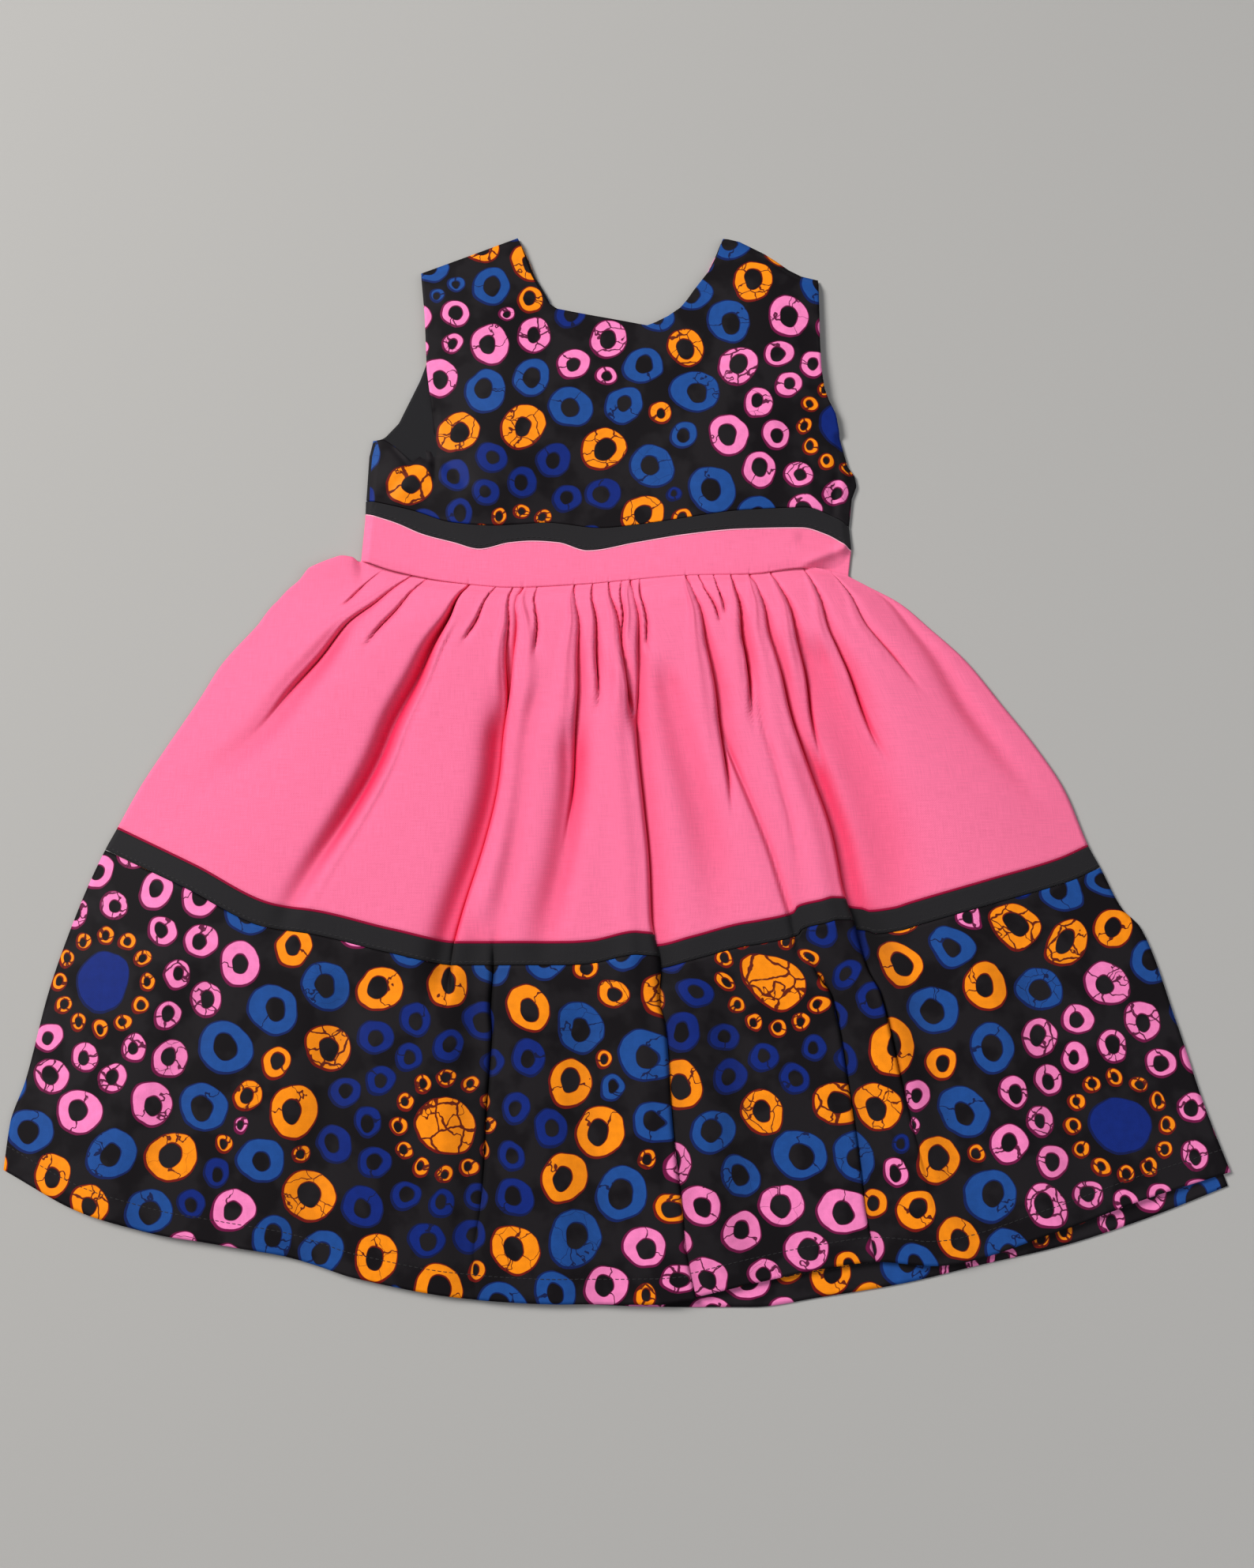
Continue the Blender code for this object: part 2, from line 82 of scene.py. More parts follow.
# Columns: x, y, from the left side to the right side
BAND_SEAM = (
    (-153, 168), (-124, 161), (-102, 154), (-79, 152), (-46, 154), (-16, 151), (6, 153),
    (35, 157), (66, 161), (104, 163), (122, 157), (130, 152),
)
WAISTBAND_SEAM = (
    (-153, 160), (-135, 154), (-119, 147), (-101, 142), (-86, 138), (-68, 142), (-55, 143),
    (-40, 142), (-23, 137), (5, 142), (35, 147), (66, 150), (102, 151), (116, 147), (131, 138),
)
WAIST_SEAM = (
    (-155, 131), (-135, 124), (-101, 117), (-67, 114), (-25, 116), (9, 119), (34, 121),
    (71, 122), (103, 126), (129, 122),
)
LEFT_END, RIGHT_END = WAIST_SEAM[0][0], WAIST_SEAM[-1][0]
TIER_SEAM = (
    (-289, -26), (-242, -48), (-197, -70), (-171, -74), (-130, -84), (-92, -91), (-33, -91),
    (-20, -90.2), (5, -85.3), (9.5, -86), (11.4, -87), (13.2, -92.6), (16, -92.6), (36, -88),
    (62, -81), (74, -79), (93, -74.3), (94.6, -71.5), (98, -70), (108, -67.8), (115, -66),
    (120.4, -66), (123.6, -70.6), (131.7, -72), (136, -73.4), (149, -71.8), (158, -69),
    (203, -56), (243, -44), (261, -36),
)
BACK_TIER_SEAM = (
    (-289, -26), (-242, -48), (-197, -69), (-130, -84), (-76, -91), (-15, -92), (36, -88),
    (92, -79), (150, -68), (203, -56), (243, -44), (261, -36),
)
FRONT_HEM = (
    (-341, -214), (-297, -236), (-272, -243.5), (-250, -248.5), (-231, -251.3), (-210, -254.8),
    (-189, -258.3), (-168, -263.7), (-148, -270), (-77, -282), (-34, -284), (16, -284),
    (51, -277), (74, -272), (103, -266), (136, -262), (165, -264), (234, -246), (282, -229),
    (330, -215),
)
BACK_HEM = (
    (-341, -214), (-297, -234.5), (-250, -247), (-231, -250), (-210, -253.3), (-189, -257),
    (-168, -262.5), (-148, -269), (-77, -281), (-34, -284), (28, -286), (68, -286), (104, -281),
    (148, -274), (192, -264), (237, -254), (282, -240), (330, -222),
)

# Columns: x, y, from the shoulder down
FRONT_ARMHOLE = ((-124, 311), (-121, 283), (-119, 248), (-116, 227), (-114, 208))
FRONT_UNDERARM = ((-150, 205), (-143, 205), (-137, 201), (-127, 191), (-119, 198), (-114, 208))
LEFT_SIDE = ((-150, 205), (-152, 195), (-153, 168))
RIGHT_SIDE = (
    (115, 306.5), (115, 268), (115.3, 250), (116.8, 236), (119.5, 228.5), (123.4, 220.5),
    (125.8, 206), (130, 189), (134, 183), (135, 177), (132, 169), (130, 152),
)
BACK_ARMHOLE_LEFT = (
    (-122, 309), (-118, 283), (-118, 258), (-123, 243), (-127, 234), (-135, 216), (-143, 207),
    (-150, 204), (-152, 195), (-153, 168),
)
BACK_ARMHOLE_RIGHT = (
    (113, 305), (114, 268), (115, 238), (120, 210), (127, 190), (131, 180), (129, 166),
    (129, 152),
)
# Columns: x, y, from the left shoulder to the right one
FRONT_TOP = (
    (-124, 311), (-96, 322), (-66, 334), (-61, 320), (-57.5, 309), (-51, 297.5), (-47, 291),
    (-42, 287.5), (-30, 285), (-7, 280.5), (12, 276.5), (17, 278.5), (24.5, 282.5), (32, 288),
    (36, 293), (40, 299), (47, 308.5), (51.5, 314.5), (55, 323.5), (58, 333.5), (61, 333.3),
    (68, 331.5), (75.5, 327.5), (83, 323.5), (90, 318.7), (97.5, 313), (105, 309), (115, 306.5),
)
FRONT_TOP_LEFT, FRONT_TOP_RIGHT = FRONT_TOP[:3], FRONT_TOP[-9:]
BACK_TOP_LEFT = (
    (-122, 309), (-95, 320), (-65, 332), (-59.5, 320), (-55.4, 309), (-48.4, 297), (-44, 287),
    (-10, 262),
)
BACK_TOP_RIGHT = (
    (-10, 262), (14, 270), (36, 289), (46.5, 306.5), (49, 313), (53.3, 322), (57, 331.5),
    (68, 329.5), (83, 321.5), (97.5, 311), (105, 307), (113, 305),
)
# Middle of the laid-out dress in the tables' own measures, which is the solids' origin
MIDDLE = np.array([
    (SKIRT_LEFT[-1][1] + SKIRT_RIGHT[-1][1]) / 2,
    (min(row[1] for row in BACK_HEM) + max(row[1] for row in FRONT_TOP)) / 2,
    0.0,
])
print("middle of the dress:", MIDDLE)

# %% [markdown]
# ## Camera, floor and light
# The dress is seen from almost straight above, leaning a little towards the hem. One wide soft
# lamp high on the upper left draws the folds, as a window does. A weak one on the right and a
# pale sky fill the shadows.

# %% Camera, floor and lamps
LEAN = math.radians(9.0)
CAMERA_DISTANCE = 0.845
LENS = 34.0
LOOK_AT = -MIDDLE * MM

camera = bpy.data.objects.new("camera", bpy.data.cameras.new("camera"))
bpy.context.scene.collection.objects.link(camera)
camera.data.lens = LENS
camera.location = (
    LOOK_AT[0],
    LOOK_AT[1] - CAMERA_DISTANCE * math.sin(LEAN),
    CAMERA_DISTANCE * math.cos(LEAN),
)
camera.rotation_euler = (LEAN, 0, 0)
bpy.context.scene.camera = camera


def lamp(name, size, power, place, colour):
    """A square soft lamp at one place, turned to face the dress."""
    made = bpy.data.objects.new(name, bpy.data.lights.new(name, "AREA"))
    made.data.size, made.data.energy, made.data.color = size, power, colour
    made.location = place
    turn = math.atan2(place[1], place[0])
    made.rotation_euler = (0, math.atan2(math.hypot(place[0], place[1]), place[2]), turn)
    bpy.context.scene.collection.objects.link(made)


lamp("key_lamp", 1.5, 181.0, (-2.6, 1.5, 2.6), (1.0, 0.985, 0.96))
lamp("fill_lamp", 1.8, 13.0, (1.3, -0.5, 1.5), (0.95, 0.97, 1.0))

world = bpy.data.worlds.new("sky")
world.use_nodes = True
world.node_tree.nodes["Background"].inputs["Color"].default_value = (0.93, 0.95, 1.0, 1)
world.node_tree.nodes["Background"].inputs["Strength"].default_value = 0.13
bpy.context.scene.world = world
bpy.context.scene.view_settings.view_transform = "Standard"

FLOOR, FLOOR_DROP = 3.0, 0.0002     # half its width, and how far it lies under the cloth
floor_mesh = bpy.data.meshes.new("floor")
floor_corners = [(x * FLOOR, y * FLOOR, -FLOOR_DROP) for x, y in ((-1, -1), (1, -1), (1, 1), (-1, 1))]
floor_mesh.from_pydata(floor_corners, [], [(0, 1, 2, 3)])
floor = bpy.data.objects.new("floor", floor_mesh)
bpy.context.scene.collection.objects.link(floor)
floor_paint = bpy.data.materials.new("floor_paint")
floor_paint.use_nodes = True
paint = floor_paint.node_tree.nodes["Principled BSDF"]
paint.inputs["Base Color"].default_value = (0.442, 0.434, 0.42, 1)
paint.inputs["Roughness"].default_value = 0.9
floor_mesh.materials.append(floor_paint)
print("camera at", tuple(round(c, 3) for c in camera.location))

# %% [markdown]
# ## Reading a table as a smooth curve
# A polyline would put a corner at each row. A cubic through the rows, whose slope at a row is the
# harmonic mean of the slopes on both sides, is smooth and never swings past its own rows.

# %% Curves and flat patches
def smooth_step(t):
    """0 below 0, 1 above 1, and three t squared less two t cubed between them."""
    t = np.clip(t, 0, 1)
    return t * t * (3 - 2 * t)


def read(rows, at, column):
    """A column of a table along a smooth curve, by the cubic that the last cell describes."""
    rows = np.array(rows, float)
    key, value = rows[:, 0], rows[:, column]
    step = np.diff(key)
    rise = np.diff(value) / step
    product, total = rise[1:] * rise[:-1], rise[1:] + rise[:-1]
    inner = np.where(product > 0, 2 * product / np.where(total == 0, 1, total), 0)
    slope = np.concatenate([rise[:1], inner, rise[-1:]])
    at = np.clip(at, key[0], key[-1])
    i = np.clip(np.searchsorted(key, at, "right") - 1, 0, len(step) - 1)
    t = (at - key[i]) / step[i]
    ends = value[i] + (value[i + 1] - value[i]) * t * t * (3 - 2 * t)
    bend = slope[i] * (1 - t) - slope[i + 1] * t
    return ends + step[i] * t * (1 - t) * bend


def along(rows, shares):
    """Points at the given shares of the length of a line of x, y rows."""
    rows = np.array(rows, float)
    run = np.concatenate([[0], np.cumsum(np.hypot(*np.diff(rows, axis=0).T))])
    at = np.asarray(shares, float) * run[-1]
    return np.stack([np.interp(at, run, rows[:, i]) for i in (0, 1)], axis=-1)


def patch(bottom, top, left, right):
    """A flat grid between four edges: the two ruled grids added, less the corners' grid."""
    across = np.linspace(0, 1, len(bottom))[None, :, None]
    up = np.linspace(0, 1, len(left))[:, None, None]
    sides = left[:, None] * (1 - across) + right[:, None] * across
    ends = bottom[None] * (1 - up) + top[None] * up
    start = bottom[0] * (1 - up) + top[0] * up
    end = bottom[-1] * (1 - up) + top[-1] * up
    return sides + ends - start * (1 - across) - end * across


def distance_to(line, x, y):
    """Shortest distance from each point to a line of x, y rows, over all its straight pieces."""
    line = np.array(line, float)
    start, run = line[:-1], np.diff(line, axis=0)
    points = np.stack([x, y], axis=-1)[..., None, :]
    share = ((points - start) * run).sum(-1) / (run * run).sum(-1)
    nearest = start + np.clip(share, 0, 1)[..., None] * run
    return np.sqrt(((points - nearest) ** 2).sum(-1)).min(-1)


print("waist seam at the centre back:", read(WAIST_SEAM, CENTRE_BACK, 1), "mm")

# %% [markdown]
# ## The skirt's gathers
# A gathering thread draws a wide cloth into a short seam, and laid flat the spare width falls into
# creases. At most of them the left layer rolls over the right one and throws a shadow on it. A cloth
# simulation would put the creases where it likes, so they are placed one by one.

# %% Tables of the folds
LEVELS = (0, 60, 120, 215)      # distances down the cloth at which a gather's place is given
# Columns: name, place across at those four levels (0 is the left side and 1 the right), where
# it starts, where it ends, the share of the puff that it takes, its half width, how far the
# upper layer rolls over, and which layer is on top (1 the left one, -1 the right, 0 neither)
GATHERS = (
    ("side_left", 0.047, 0.078, 0.090, 0.100, 0, 50, 0.45, 3.0, 1.0, 1),
    ("left_sweep", 0.104, 0.102, 0.086, 0.010, 0, 145, 0.72, 4.0, 1.5, 1),
    ("left_sweep_low", 0.112, 0.106, 0.090, 0.012, 50, 205, 0.34, 7.0, 0.0, 0),
    ("left_short", 0.136, 0.151, 0.160, 0.170, 0, 74, 0.50, 3.2, 1.0, 1),
    ("left_main", 0.224, 0.239, 0.227, 0.182, 0, 255, 0.70, 4.6, 0.0, 0),
    ("left_faint", 0.245, 0.260, 0.250, 0.207, 30, 250, 0.10, 1.6, 0.0, 1),
    ("left_nip", 0.277, 0.283, 0.270, 0.260, 0, 58, 0.55, 2.8, 0.8, 1),
    ("inner_branch", 0.312, 0.350, 0.379, 0.380, 0, 118, 0.75, 2.6, 1.6, 1),
    ("inner_main", 0.335, 0.372, 0.376, 0.352, 0, 300, 0.88, 3.7, 3.4, -1),
    ("inner_low", 0.330, 0.362, 0.366, 0.341, 85, 320, 0.50, 5.2, 0.0, 0),
    ("inner_nip", 0.362, 0.396, 0.405, 0.410, 0, 66, 0.45, 2.6, 0.8, 1),
    ("inner_streak", 0.400, 0.405, 0.400, 0.392, 70, 250, 0.22, 5.0, 0.0, 0),
    ("middle_left", 0.438, 0.456, 0.460, 0.441, 0, 175, 0.80, 3.2, 2.8, 1),
    ("middle_low", 0.450, 0.456, 0.460, 0.441, 95, 250, 0.42, 6.5, 0.0, 0),
    ("middle_nip", 0.475, 0.488, 0.494, 0.494, 0, 104, 0.58, 2.8, 1.0, 1),
    ("centre_branch", 0.508, 0.525, 0.534, 0.540, 0, 130, 0.75, 2.6, 1.8, 1),
    ("centre_nip", 0.534, 0.527, 0.520, 0.520, 0, 62, 0.50, 2.2, 0.8, 1),
    ("centre_main", 0.552, 0.545, 0.536, 0.547, 0, 900, 0.90, 3.6, 3.8, 1),
    ("centre_right", 0.571, 0.566, 0.560, 0.560, 0, 66, 0.45, 2.6, 0.8, 1),
    ("centre_streak", 0.580, 0.583, 0.598, 0.622, 60, 235, 0.30, 8.0, 0.0, 0),
    ("right_deep", 0.665, 0.650, 0.644, 0.640, 0, 168, 0.90, 3.4, 3.0, 1),
    ("right_branch", 0.640, 0.640, 0.652, 0.691, 105, 300, 0.26, 3.0, 0.0, 1),
    ("right_dimple", 0.691, 0.684, 0.680, 0.680, 0, 50, 0.55, 2.4, 0.8, 1),
    ("right_nip", 0.722, 0.690, 0.680, 0.680, 0, 44, 0.50, 2.2, 0.8, 1),
    ("right_soft", 0.757, 0.709, 0.690, 0.690, 0, 122, 0.68, 3.4, 1.0, 1),
    ("right_faint", 0.720, 0.712, 0.700, 0.703, 80, 225, 0.14, 2.4, 0.0, 1),
    ("right_main", 0.795, 0.746, 0.734, 0.746, 0, 290, 0.88, 3.8, 3.4, 1),
    ("right_low", 0.800, 0.752, 0.745, 0.757, 120, 340, 0.55, 6.0, 0.0, 0),
    ("outer_soft", 0.838, 0.790, 0.762, 0.750, 0, 144, 0.78, 3.4, 1.8, 1),
    ("outer_valley", 0.820, 0.808, 0.800, 0.792, 50, 290, 0.34, 13.0, 0.0, 0),
    ("outer_mid", 0.907, 0.842, 0.830, 0.862, 0, 150, 0.66, 3.6, 1.6, 1),
    ("outer_side", 0.965, 0.902, 0.918, 0.940, 0, 112, 0.50, 3.6, 1.2, 1),
    ("side_right", 1.005, 0.975, 0.960, 0.978, 15, 200, 0.62, 6.0, 0.0, 0),
)
TIER_LEVELS = (PINK_LENGTH, (TIER_TOP + SKIRT_LENGTH) / 2, SKIRT_LENGTH)
# Columns: as above, with three places, at the levels of the tier
TIER_FOLDS = (
    ("far_left", 0.130, 0.120, 0.110, 250, 600, 0.22, 12.0, 0.0, 0),
    ("left_hollow", 0.255, 0.250, 0.240, 235, 600, 0.30, 12.0, 0.0, 0),
    ("left_fold", 0.391, 0.391, 0.386, 205, 470, 0.55, 5.0, 2.2, 1),
    ("left_slope", 0.372, 0.376, 0.378, 190, 560, 0.36, 9.0, 0.0, 0),
    ("tier_middle", 0.470, 0.475, 0.480, 240, 600, 0.28, 12.0, 0.0, 0),
    ("centre_fold", 0.547, 0.551, 0.559, 205, 900, 0.85, 4.4, 4.6, 1),
    ("right_valley", 0.610, 0.608, 0.606, 240, 600, 0.36, 11.0, 0.0, 0),
    ("right_fold", 0.699, 0.706, 0.706, 240, 560, 0.75, 4.6, 4.0, 1),
    ("right_kink", 0.746, 0.757, 0.772, 205, 420, 0.60, 5.0, 2.6, 1),
    ("right_slope", 0.772, 0.780, 0.790, 200, 520, 0.34, 8.0, 0.0, 0),
    ("far_right", 0.870, 0.875, 0.880, 240, 600, 0.30, 12.0, 0.0, 0),
)
# Columns: distance down the cloth, how high the front puffs above the back
PUFF = (
    (0, 3.2), (2, 3.6), (9, 7.5), (25, 11.5), (60, 12.5), (110, 11.5), (160, 10.5), (215, 9.0),
    (300, 7.0), (380, 5.0), (408, 3.4),
)
SHARP = 0.5         # half width of a fold with a layer on top, against that of a soft one
SIDE_SLOPE = 75.0   # distance from a side at which the front has risen to its full puff
EDGE_REST = 1.7     # height of the front cloth at the skirt's sides
LINED_REST = 3.2    # height of the front cloth over the lined back
HIDDEN = 1.5        # cloth that a fold hides, against how far its upper layer rolls over
FADE = 0.45         # share of a gather's reach over which it fades out
print(len(GATHERS), "gathers and", len(TIER_FOLDS), "folds in the tier")


# %% The skirt as a function of two parameters
def skirt_width(down):
    """Straight distance across between the two sides."""
    return read(SKIRT_RIGHT, down, 1) - read(SKIRT_LEFT, down, 1)


def near_left(across, down):
    """Share of the left side's puff at a point: less inwards, and none under the waistband."""
    inwards = across * skirt_width(down)
    beyond = LEFT_END + 1 - read(SKIRT_LEFT, down, 1) - inwards
    return np.exp(-((inwards / PUFF_REACH) ** 2)) * smooth_step(beyond / 5)


def skirt_plan(across, down, tier_seam, hem):
    """Where a point of the skirt lies on the floor.

    The sides come from their tables. Between them the cloth runs straight across, moved so that
    the waist seam, the tier seam and the hem lie on theirs, in proportion between two of them.
    """
    left = [read(SKIRT_LEFT, down, i) for i in (1, 2)]
    right = [read(SKIRT_RIGHT, down, i) for i in (1, 2)]
    x = left[0] + across * (right[0] - left[0])
    y = left[1] + across * (right[1] - left[1])

    def bow(seam, level):
        """How far a seam lies from the straight line between its ends."""
        start = [read(SKIRT_LEFT, level, i) for i in (1, 2)]
        end = [read(SKIRT_RIGHT, level, i) for i in (1, 2)]
        seam_x = start[0] + across * (end[0] - start[0])
        return read(seam, seam_x, 1) - start[1] - across * (end[1] - start[1])

    waist = bow(WAIST_SEAM, 0)
    tier = bow(tier_seam, PINK_LENGTH)
    edge = bow(hem, SKIRT_LENGTH)
    pink = waist + (tier - waist) * np.clip(down / PINK_LENGTH, 0, 1)
    below = (edge - tier) * np.clip((down - TIER_TOP) / (SKIRT_LENGTH - TIER_TOP), 0, 1)
    y = y - np.minimum(down, 0)
    share = near_left(across, down)
    return x + share * read(LEFT_PUFF, down, 1), y + pink + below + share * read(LEFT_PUFF, down, 2)


def fold_lines(down):
    """Each fold as its place across, its share, its half width, its roll and its top layer.

    A gather grows within the first few millimetres and fades over the last half of its reach.
    It is a thin line at the seam and wider lower down, where the cloth has room, and a short one
    stays narrower than a long one. A fold with a layer on top has a foot half as wide as a soft one.
    """
    for _, *places, first, last, share, half_width, over, top in GATHERS:
        place = read(tuple(zip(LEVELS, places)), down, 1)
        at_seam = 0.75 + 0.25 * smooth_step(down / 10)
        strength = at_seam if first == 0 else smooth_step((down - first) / 25)
        fade = FADE * (last - first)
        strength = strength * (1 - smooth_step((down - last + fade) / fade))
        strength = strength * (1 - smooth_step((down - TIER_TOP) / 30))
        wide = half_width * (0.14 + 0.86 * smooth_step(down / 110)) * (1 + down / 600)
        wide = wide * (0.55 + 0.45 * min(1, last / 220)) * (1.0 if top == 0 else SHARP)
        yield place, share * strength, wide, over * strength * smooth_step(down / 14), top
    for _, *places, first, last, share, half_width, over, top in TIER_FOLDS:
        place = read(tuple(zip(TIER_LEVELS, places)), down, 1)
        strength = smooth_step((down - first) / 30)
        strength = strength * (1 - smooth_step((down - 0.6 * last) / (0.4 * last)))
        wide = np.full_like(place, half_width * (1.0 if top == 0 else SHARP))
        yield place, share * strength, wide, over * strength, top


def trough(offset, top):
    """Depth across a fold, 1 at its foot, with the offset in half widths.

    The upper layer keeps its height up to its edge, stands up a little there and then drops.
    The lower one is a narrow bell and a wide one added, so it comes up slowly from the foot.
    """
    if top == 0:
        return np.exp(-(offset**2))
    s = offset * top
    upper = smooth_step((s + 1.3) / 1.3)
    lower = 0.55 * np.exp(-((s / 0.9) ** 2)) + 0.45 * np.exp(-((s / 5.0) ** 2))
    lip = 0.12 * np.exp(-(((s + 4.5) / 2.6) ** 2))
    return np.where(s < 0, upper, lower) - lip


def roll(offset, top):
    """Sideways push at a fold: a bell on the upper layer's edge, towards the lower layer."""
    return top * np.exp(-(((offset * top + 0.8) / 0.8) ** 2))


def skirt_front_surface(across, down):
    """The gathered front: its points, its cloth's own measures, and how deep in a fold each point lies,
    which sets its painted shade.

    Height is a puff that sinks to the sides, times one less its trough and share for each fold.
    The folds then push the cloth sideways, and its own measures count what they hide.
    """
    x, y = skirt_plan(across, down, TIER_SEAM, FRONT_HEM)
    width = skirt_width(down)
    side = np.minimum(across, 1 - across) * width / SIDE_SLOPE
    kept, pushed, hidden = np.ones_like(x), np.zeros_like(x), np.zeros_like(x)
    for place, share, half_width, over, top in fold_lines(down):
        offset = (across - place) * width / half_width
        kept *= 1 - np.clip(share * trough(offset, top), -0.3, 0.97)
        pushed += over * roll(offset, top)
        hidden += HIDDEN * over * smooth_step(0.5 + offset / 4)
    puff = read(PUFF, down, 1) * np.sin(np.pi / 2 * np.clip(side, 0, 1))
    lined = (1 - smooth_step(down / 25)) * np.clip(side, 0, 1)
    rest = EDGE_REST + (LINED_REST - EDGE_REST) * lined
    z = rest + puff * kept + ripple(x, y) * np.clip(side, 0, 1)
    z = z + near_left(across, down) * read(LEFT_PUFF, down, 3)
    points = np.stack([x + pushed * np.clip(side * 2, 0, 1), y, z], axis=-1)
    # The last value is how far each point has sunk into its folds; the materials paint shade with it.
    return points, np.stack([x + hidden, y], axis=-1), np.clip(1 - kept, 0, 1) * np.clip(side, 0, 1)


def ripple(x, y):
    """A slow unevenness of hand-ironed cloth: three crossing waves of a few tenths of a mm."""
    first = np.sin(x / 23 + 0.7 * np.sin(y / 41))
    second = np.sin((x + 1.7 * y) / 37 + 1.3)
    third = np.sin((y - 0.4 * x) / 19 + np.sin(x / 31))
    return 0.22 * first + 0.25 * second + 0.14 * third


grid_across, grid_down = np.meshgrid(np.linspace(0, 1, 5), np.linspace(0, SKIRT_LENGTH, 3))
print("skirt heights in mm:", skirt_front_surface(grid_across, grid_down)[0][..., 2].round(1).tolist())

# %% [markdown]
# ## From a grid to a piece of cloth
# Each panel is a grid of points with the cloth's own measures as its UV map, so a print or a
# weave stays on the cloth when it folds. Solidify then gives it the thickness of cotton.

# %% Making a sheet
CLOTH = 0.45            # thickness of the cotton, in millimetres
BACK_CLOTH = 0.9        # the flat back's, which lies on its seam allowances
WELD_REACH = 0.02       # between two grids of one piece


def quad_mesh(name, points, measures, corners):
    """A mesh of four-cornered faces, with the cloth's own measures as its UV map."""
    mesh = bpy.data.meshes.new(name)
    mesh.vertices.add(len(points))
    mesh.vertices.foreach_set("co", ((points - MIDDLE) * MM).ravel())
    mesh.loops.add(corners.size)
    mesh.loops.foreach_set("vertex_index", corners.ravel())
    mesh.polygons.add(len(corners))
    mesh.polygons.foreach_set("loop_start", np.arange(0, corners.size, 4))
    mesh.update(calc_edges=True)
    uv = (measures[corners.ravel()] * MM).ravel()
    mesh.uv_layers.new(name="cloth").data.foreach_set("uv", uv)
    return mesh


def sewn_on(mesh, material):
    """A smooth piece that rides on the dress, in its material and that material's slot."""
    mesh.shade_smooth()
    mesh.materials.append(material)
    piece = bpy.data.objects.new(mesh.name, mesh)
    bpy.context.scene.collection.objects.link(piece)
    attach(piece, "root")
    return piece


def sheet_piece(name, grids, material, thickness=CLOTH, offset=0.0, painted_shade=None):
    """Joins grids of points and cloth measures into one sheet and gives it a thickness."""
    points, cloth, corners, first = [], [], [], 0
    for grid, measures in grids:
        rows, columns = grid.shape[:2]
        index = first + np.arange(rows * columns).reshape(rows, columns)
        around = (index[:-1, :-1], index[:-1, 1:], index[1:, 1:], index[1:, :-1])
        corners.append(np.stack(around, axis=-1).reshape(-1, 4))
        points.append(grid.reshape(-1, 3))
        cloth.append(measures.reshape(-1, 2))
        first += rows * columns
    points, cloth, corners = (np.concatenate(part) for part in (points, cloth, corners))
    mesh = quad_mesh(name, points, cloth, corners)
    if material is PRINT:
        print_on(mesh, cloth[corners].mean(axis=1))
    # The painted shade of the folds goes on the mesh as a point attribute.
    if painted_shade is not None:
        mesh.attributes.new("painted_shade", "FLOAT", "POINT").data.foreach_set("value", painted_shade.ravel())
    piece = sewn_on(mesh, material)
    if len(grids) > 1:
        weld = piece.modifiers.new("weld", "WELD")
        weld.merge_threshold = WELD_REACH * MM
    wall = piece.modifiers.new("wall", "SOLIDIFY")
    wall.thickness, wall.offset = thickness * MM, offset
    wall.use_quality_normals = True
    print(name, len(corners), "faces")
    return piece


def raised(flat, height):
    """Points over a flat grid, at one height or at one height each."""
    height = np.broadcast_to(height, flat.shape[:-1])
    return np.concatenate([flat, height[..., None]], axis=-1)


def flat_area(measures):
    """Area of a grid of cloth measures in square metres, cell by cell across its diagonals."""
    first = measures[1:, 1:] - measures[:-1, :-1]
    second = measures[1:, :-1] - measures[:-1, 1:]
    crossed = first[..., 0] * second[..., 1] - first[..., 1] * second[..., 0]
    return float(np.abs(crossed).sum() / 2) * MM**2


def cut_from(piece, node, cut, area, held="laid", **rests):
    """Hides the solid whose place a sheet takes; the sheet, its cut, its area, how it is held and what it
    rests on are not used.
    """
    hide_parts(node)


# %% [markdown]
# ## Shader groups
# The weave and the wax print are used by several cloths, so each is a node group with named
# inputs. They put out colours, masks and heights only, and each material keeps its own shader.

# %% Helpers that write nodes
def feed(tree, socket, value):
    """Links another node's output to a socket, or sets the socket to a number or a tuple."""
    if isinstance(value, bpy.types.NodeSocket):
        tree.links.new(value, socket)
    elif socket.type == "RGBA":
        socket.default_value = (*value, 1)
    else:
        socket.default_value = value


def calc(tree, operation, *values):
    """A Math node fed with sockets or plain numbers."""
    node = tree.nodes.new("ShaderNodeMath")
    node.operation = operation
    for socket, value in zip(node.inputs, values):
        feed(tree, socket, value)
    return node.outputs[0]


def vector(tree, operation, *values, scale=None):
    """A Vector Math node; its output is the vector, or the number for a length."""
    node = tree.nodes.new("ShaderNodeVectorMath")
    node.operation = operation
    for socket, value in zip(node.inputs, values):
        feed(tree, socket, value)
    if scale is not None:
        feed(tree, node.inputs["Scale"], scale)
    return node.outputs["Value" if operation == "LENGTH" else "Vector"]


def split(tree, value):
    """The X, Y and Z of a vector."""
    node = tree.nodes.new("ShaderNodeSeparateXYZ")
    tree.links.new(value, node.inputs[0])
    return node.outputs


def noise(tree, place, scale, detail, dimensions="2D"):
    """The outputs of a Noise texture read at a place."""
    node = tree.nodes.new("ShaderNodeTexNoise")
    node.noise_dimensions = dimensions
    node.inputs["Scale"].default_value = scale
    node.inputs["Detail"].default_value = detail
    tree.links.new(place, node.inputs["Vector"])
    return node.outputs


def attribute(tree, name, output="Fac"):
    """What a mesh attribute says, as a number, a colour or a vector."""
    node = tree.nodes.new("ShaderNodeAttribute")
    node.attribute_name = name
    return node.outputs[output]


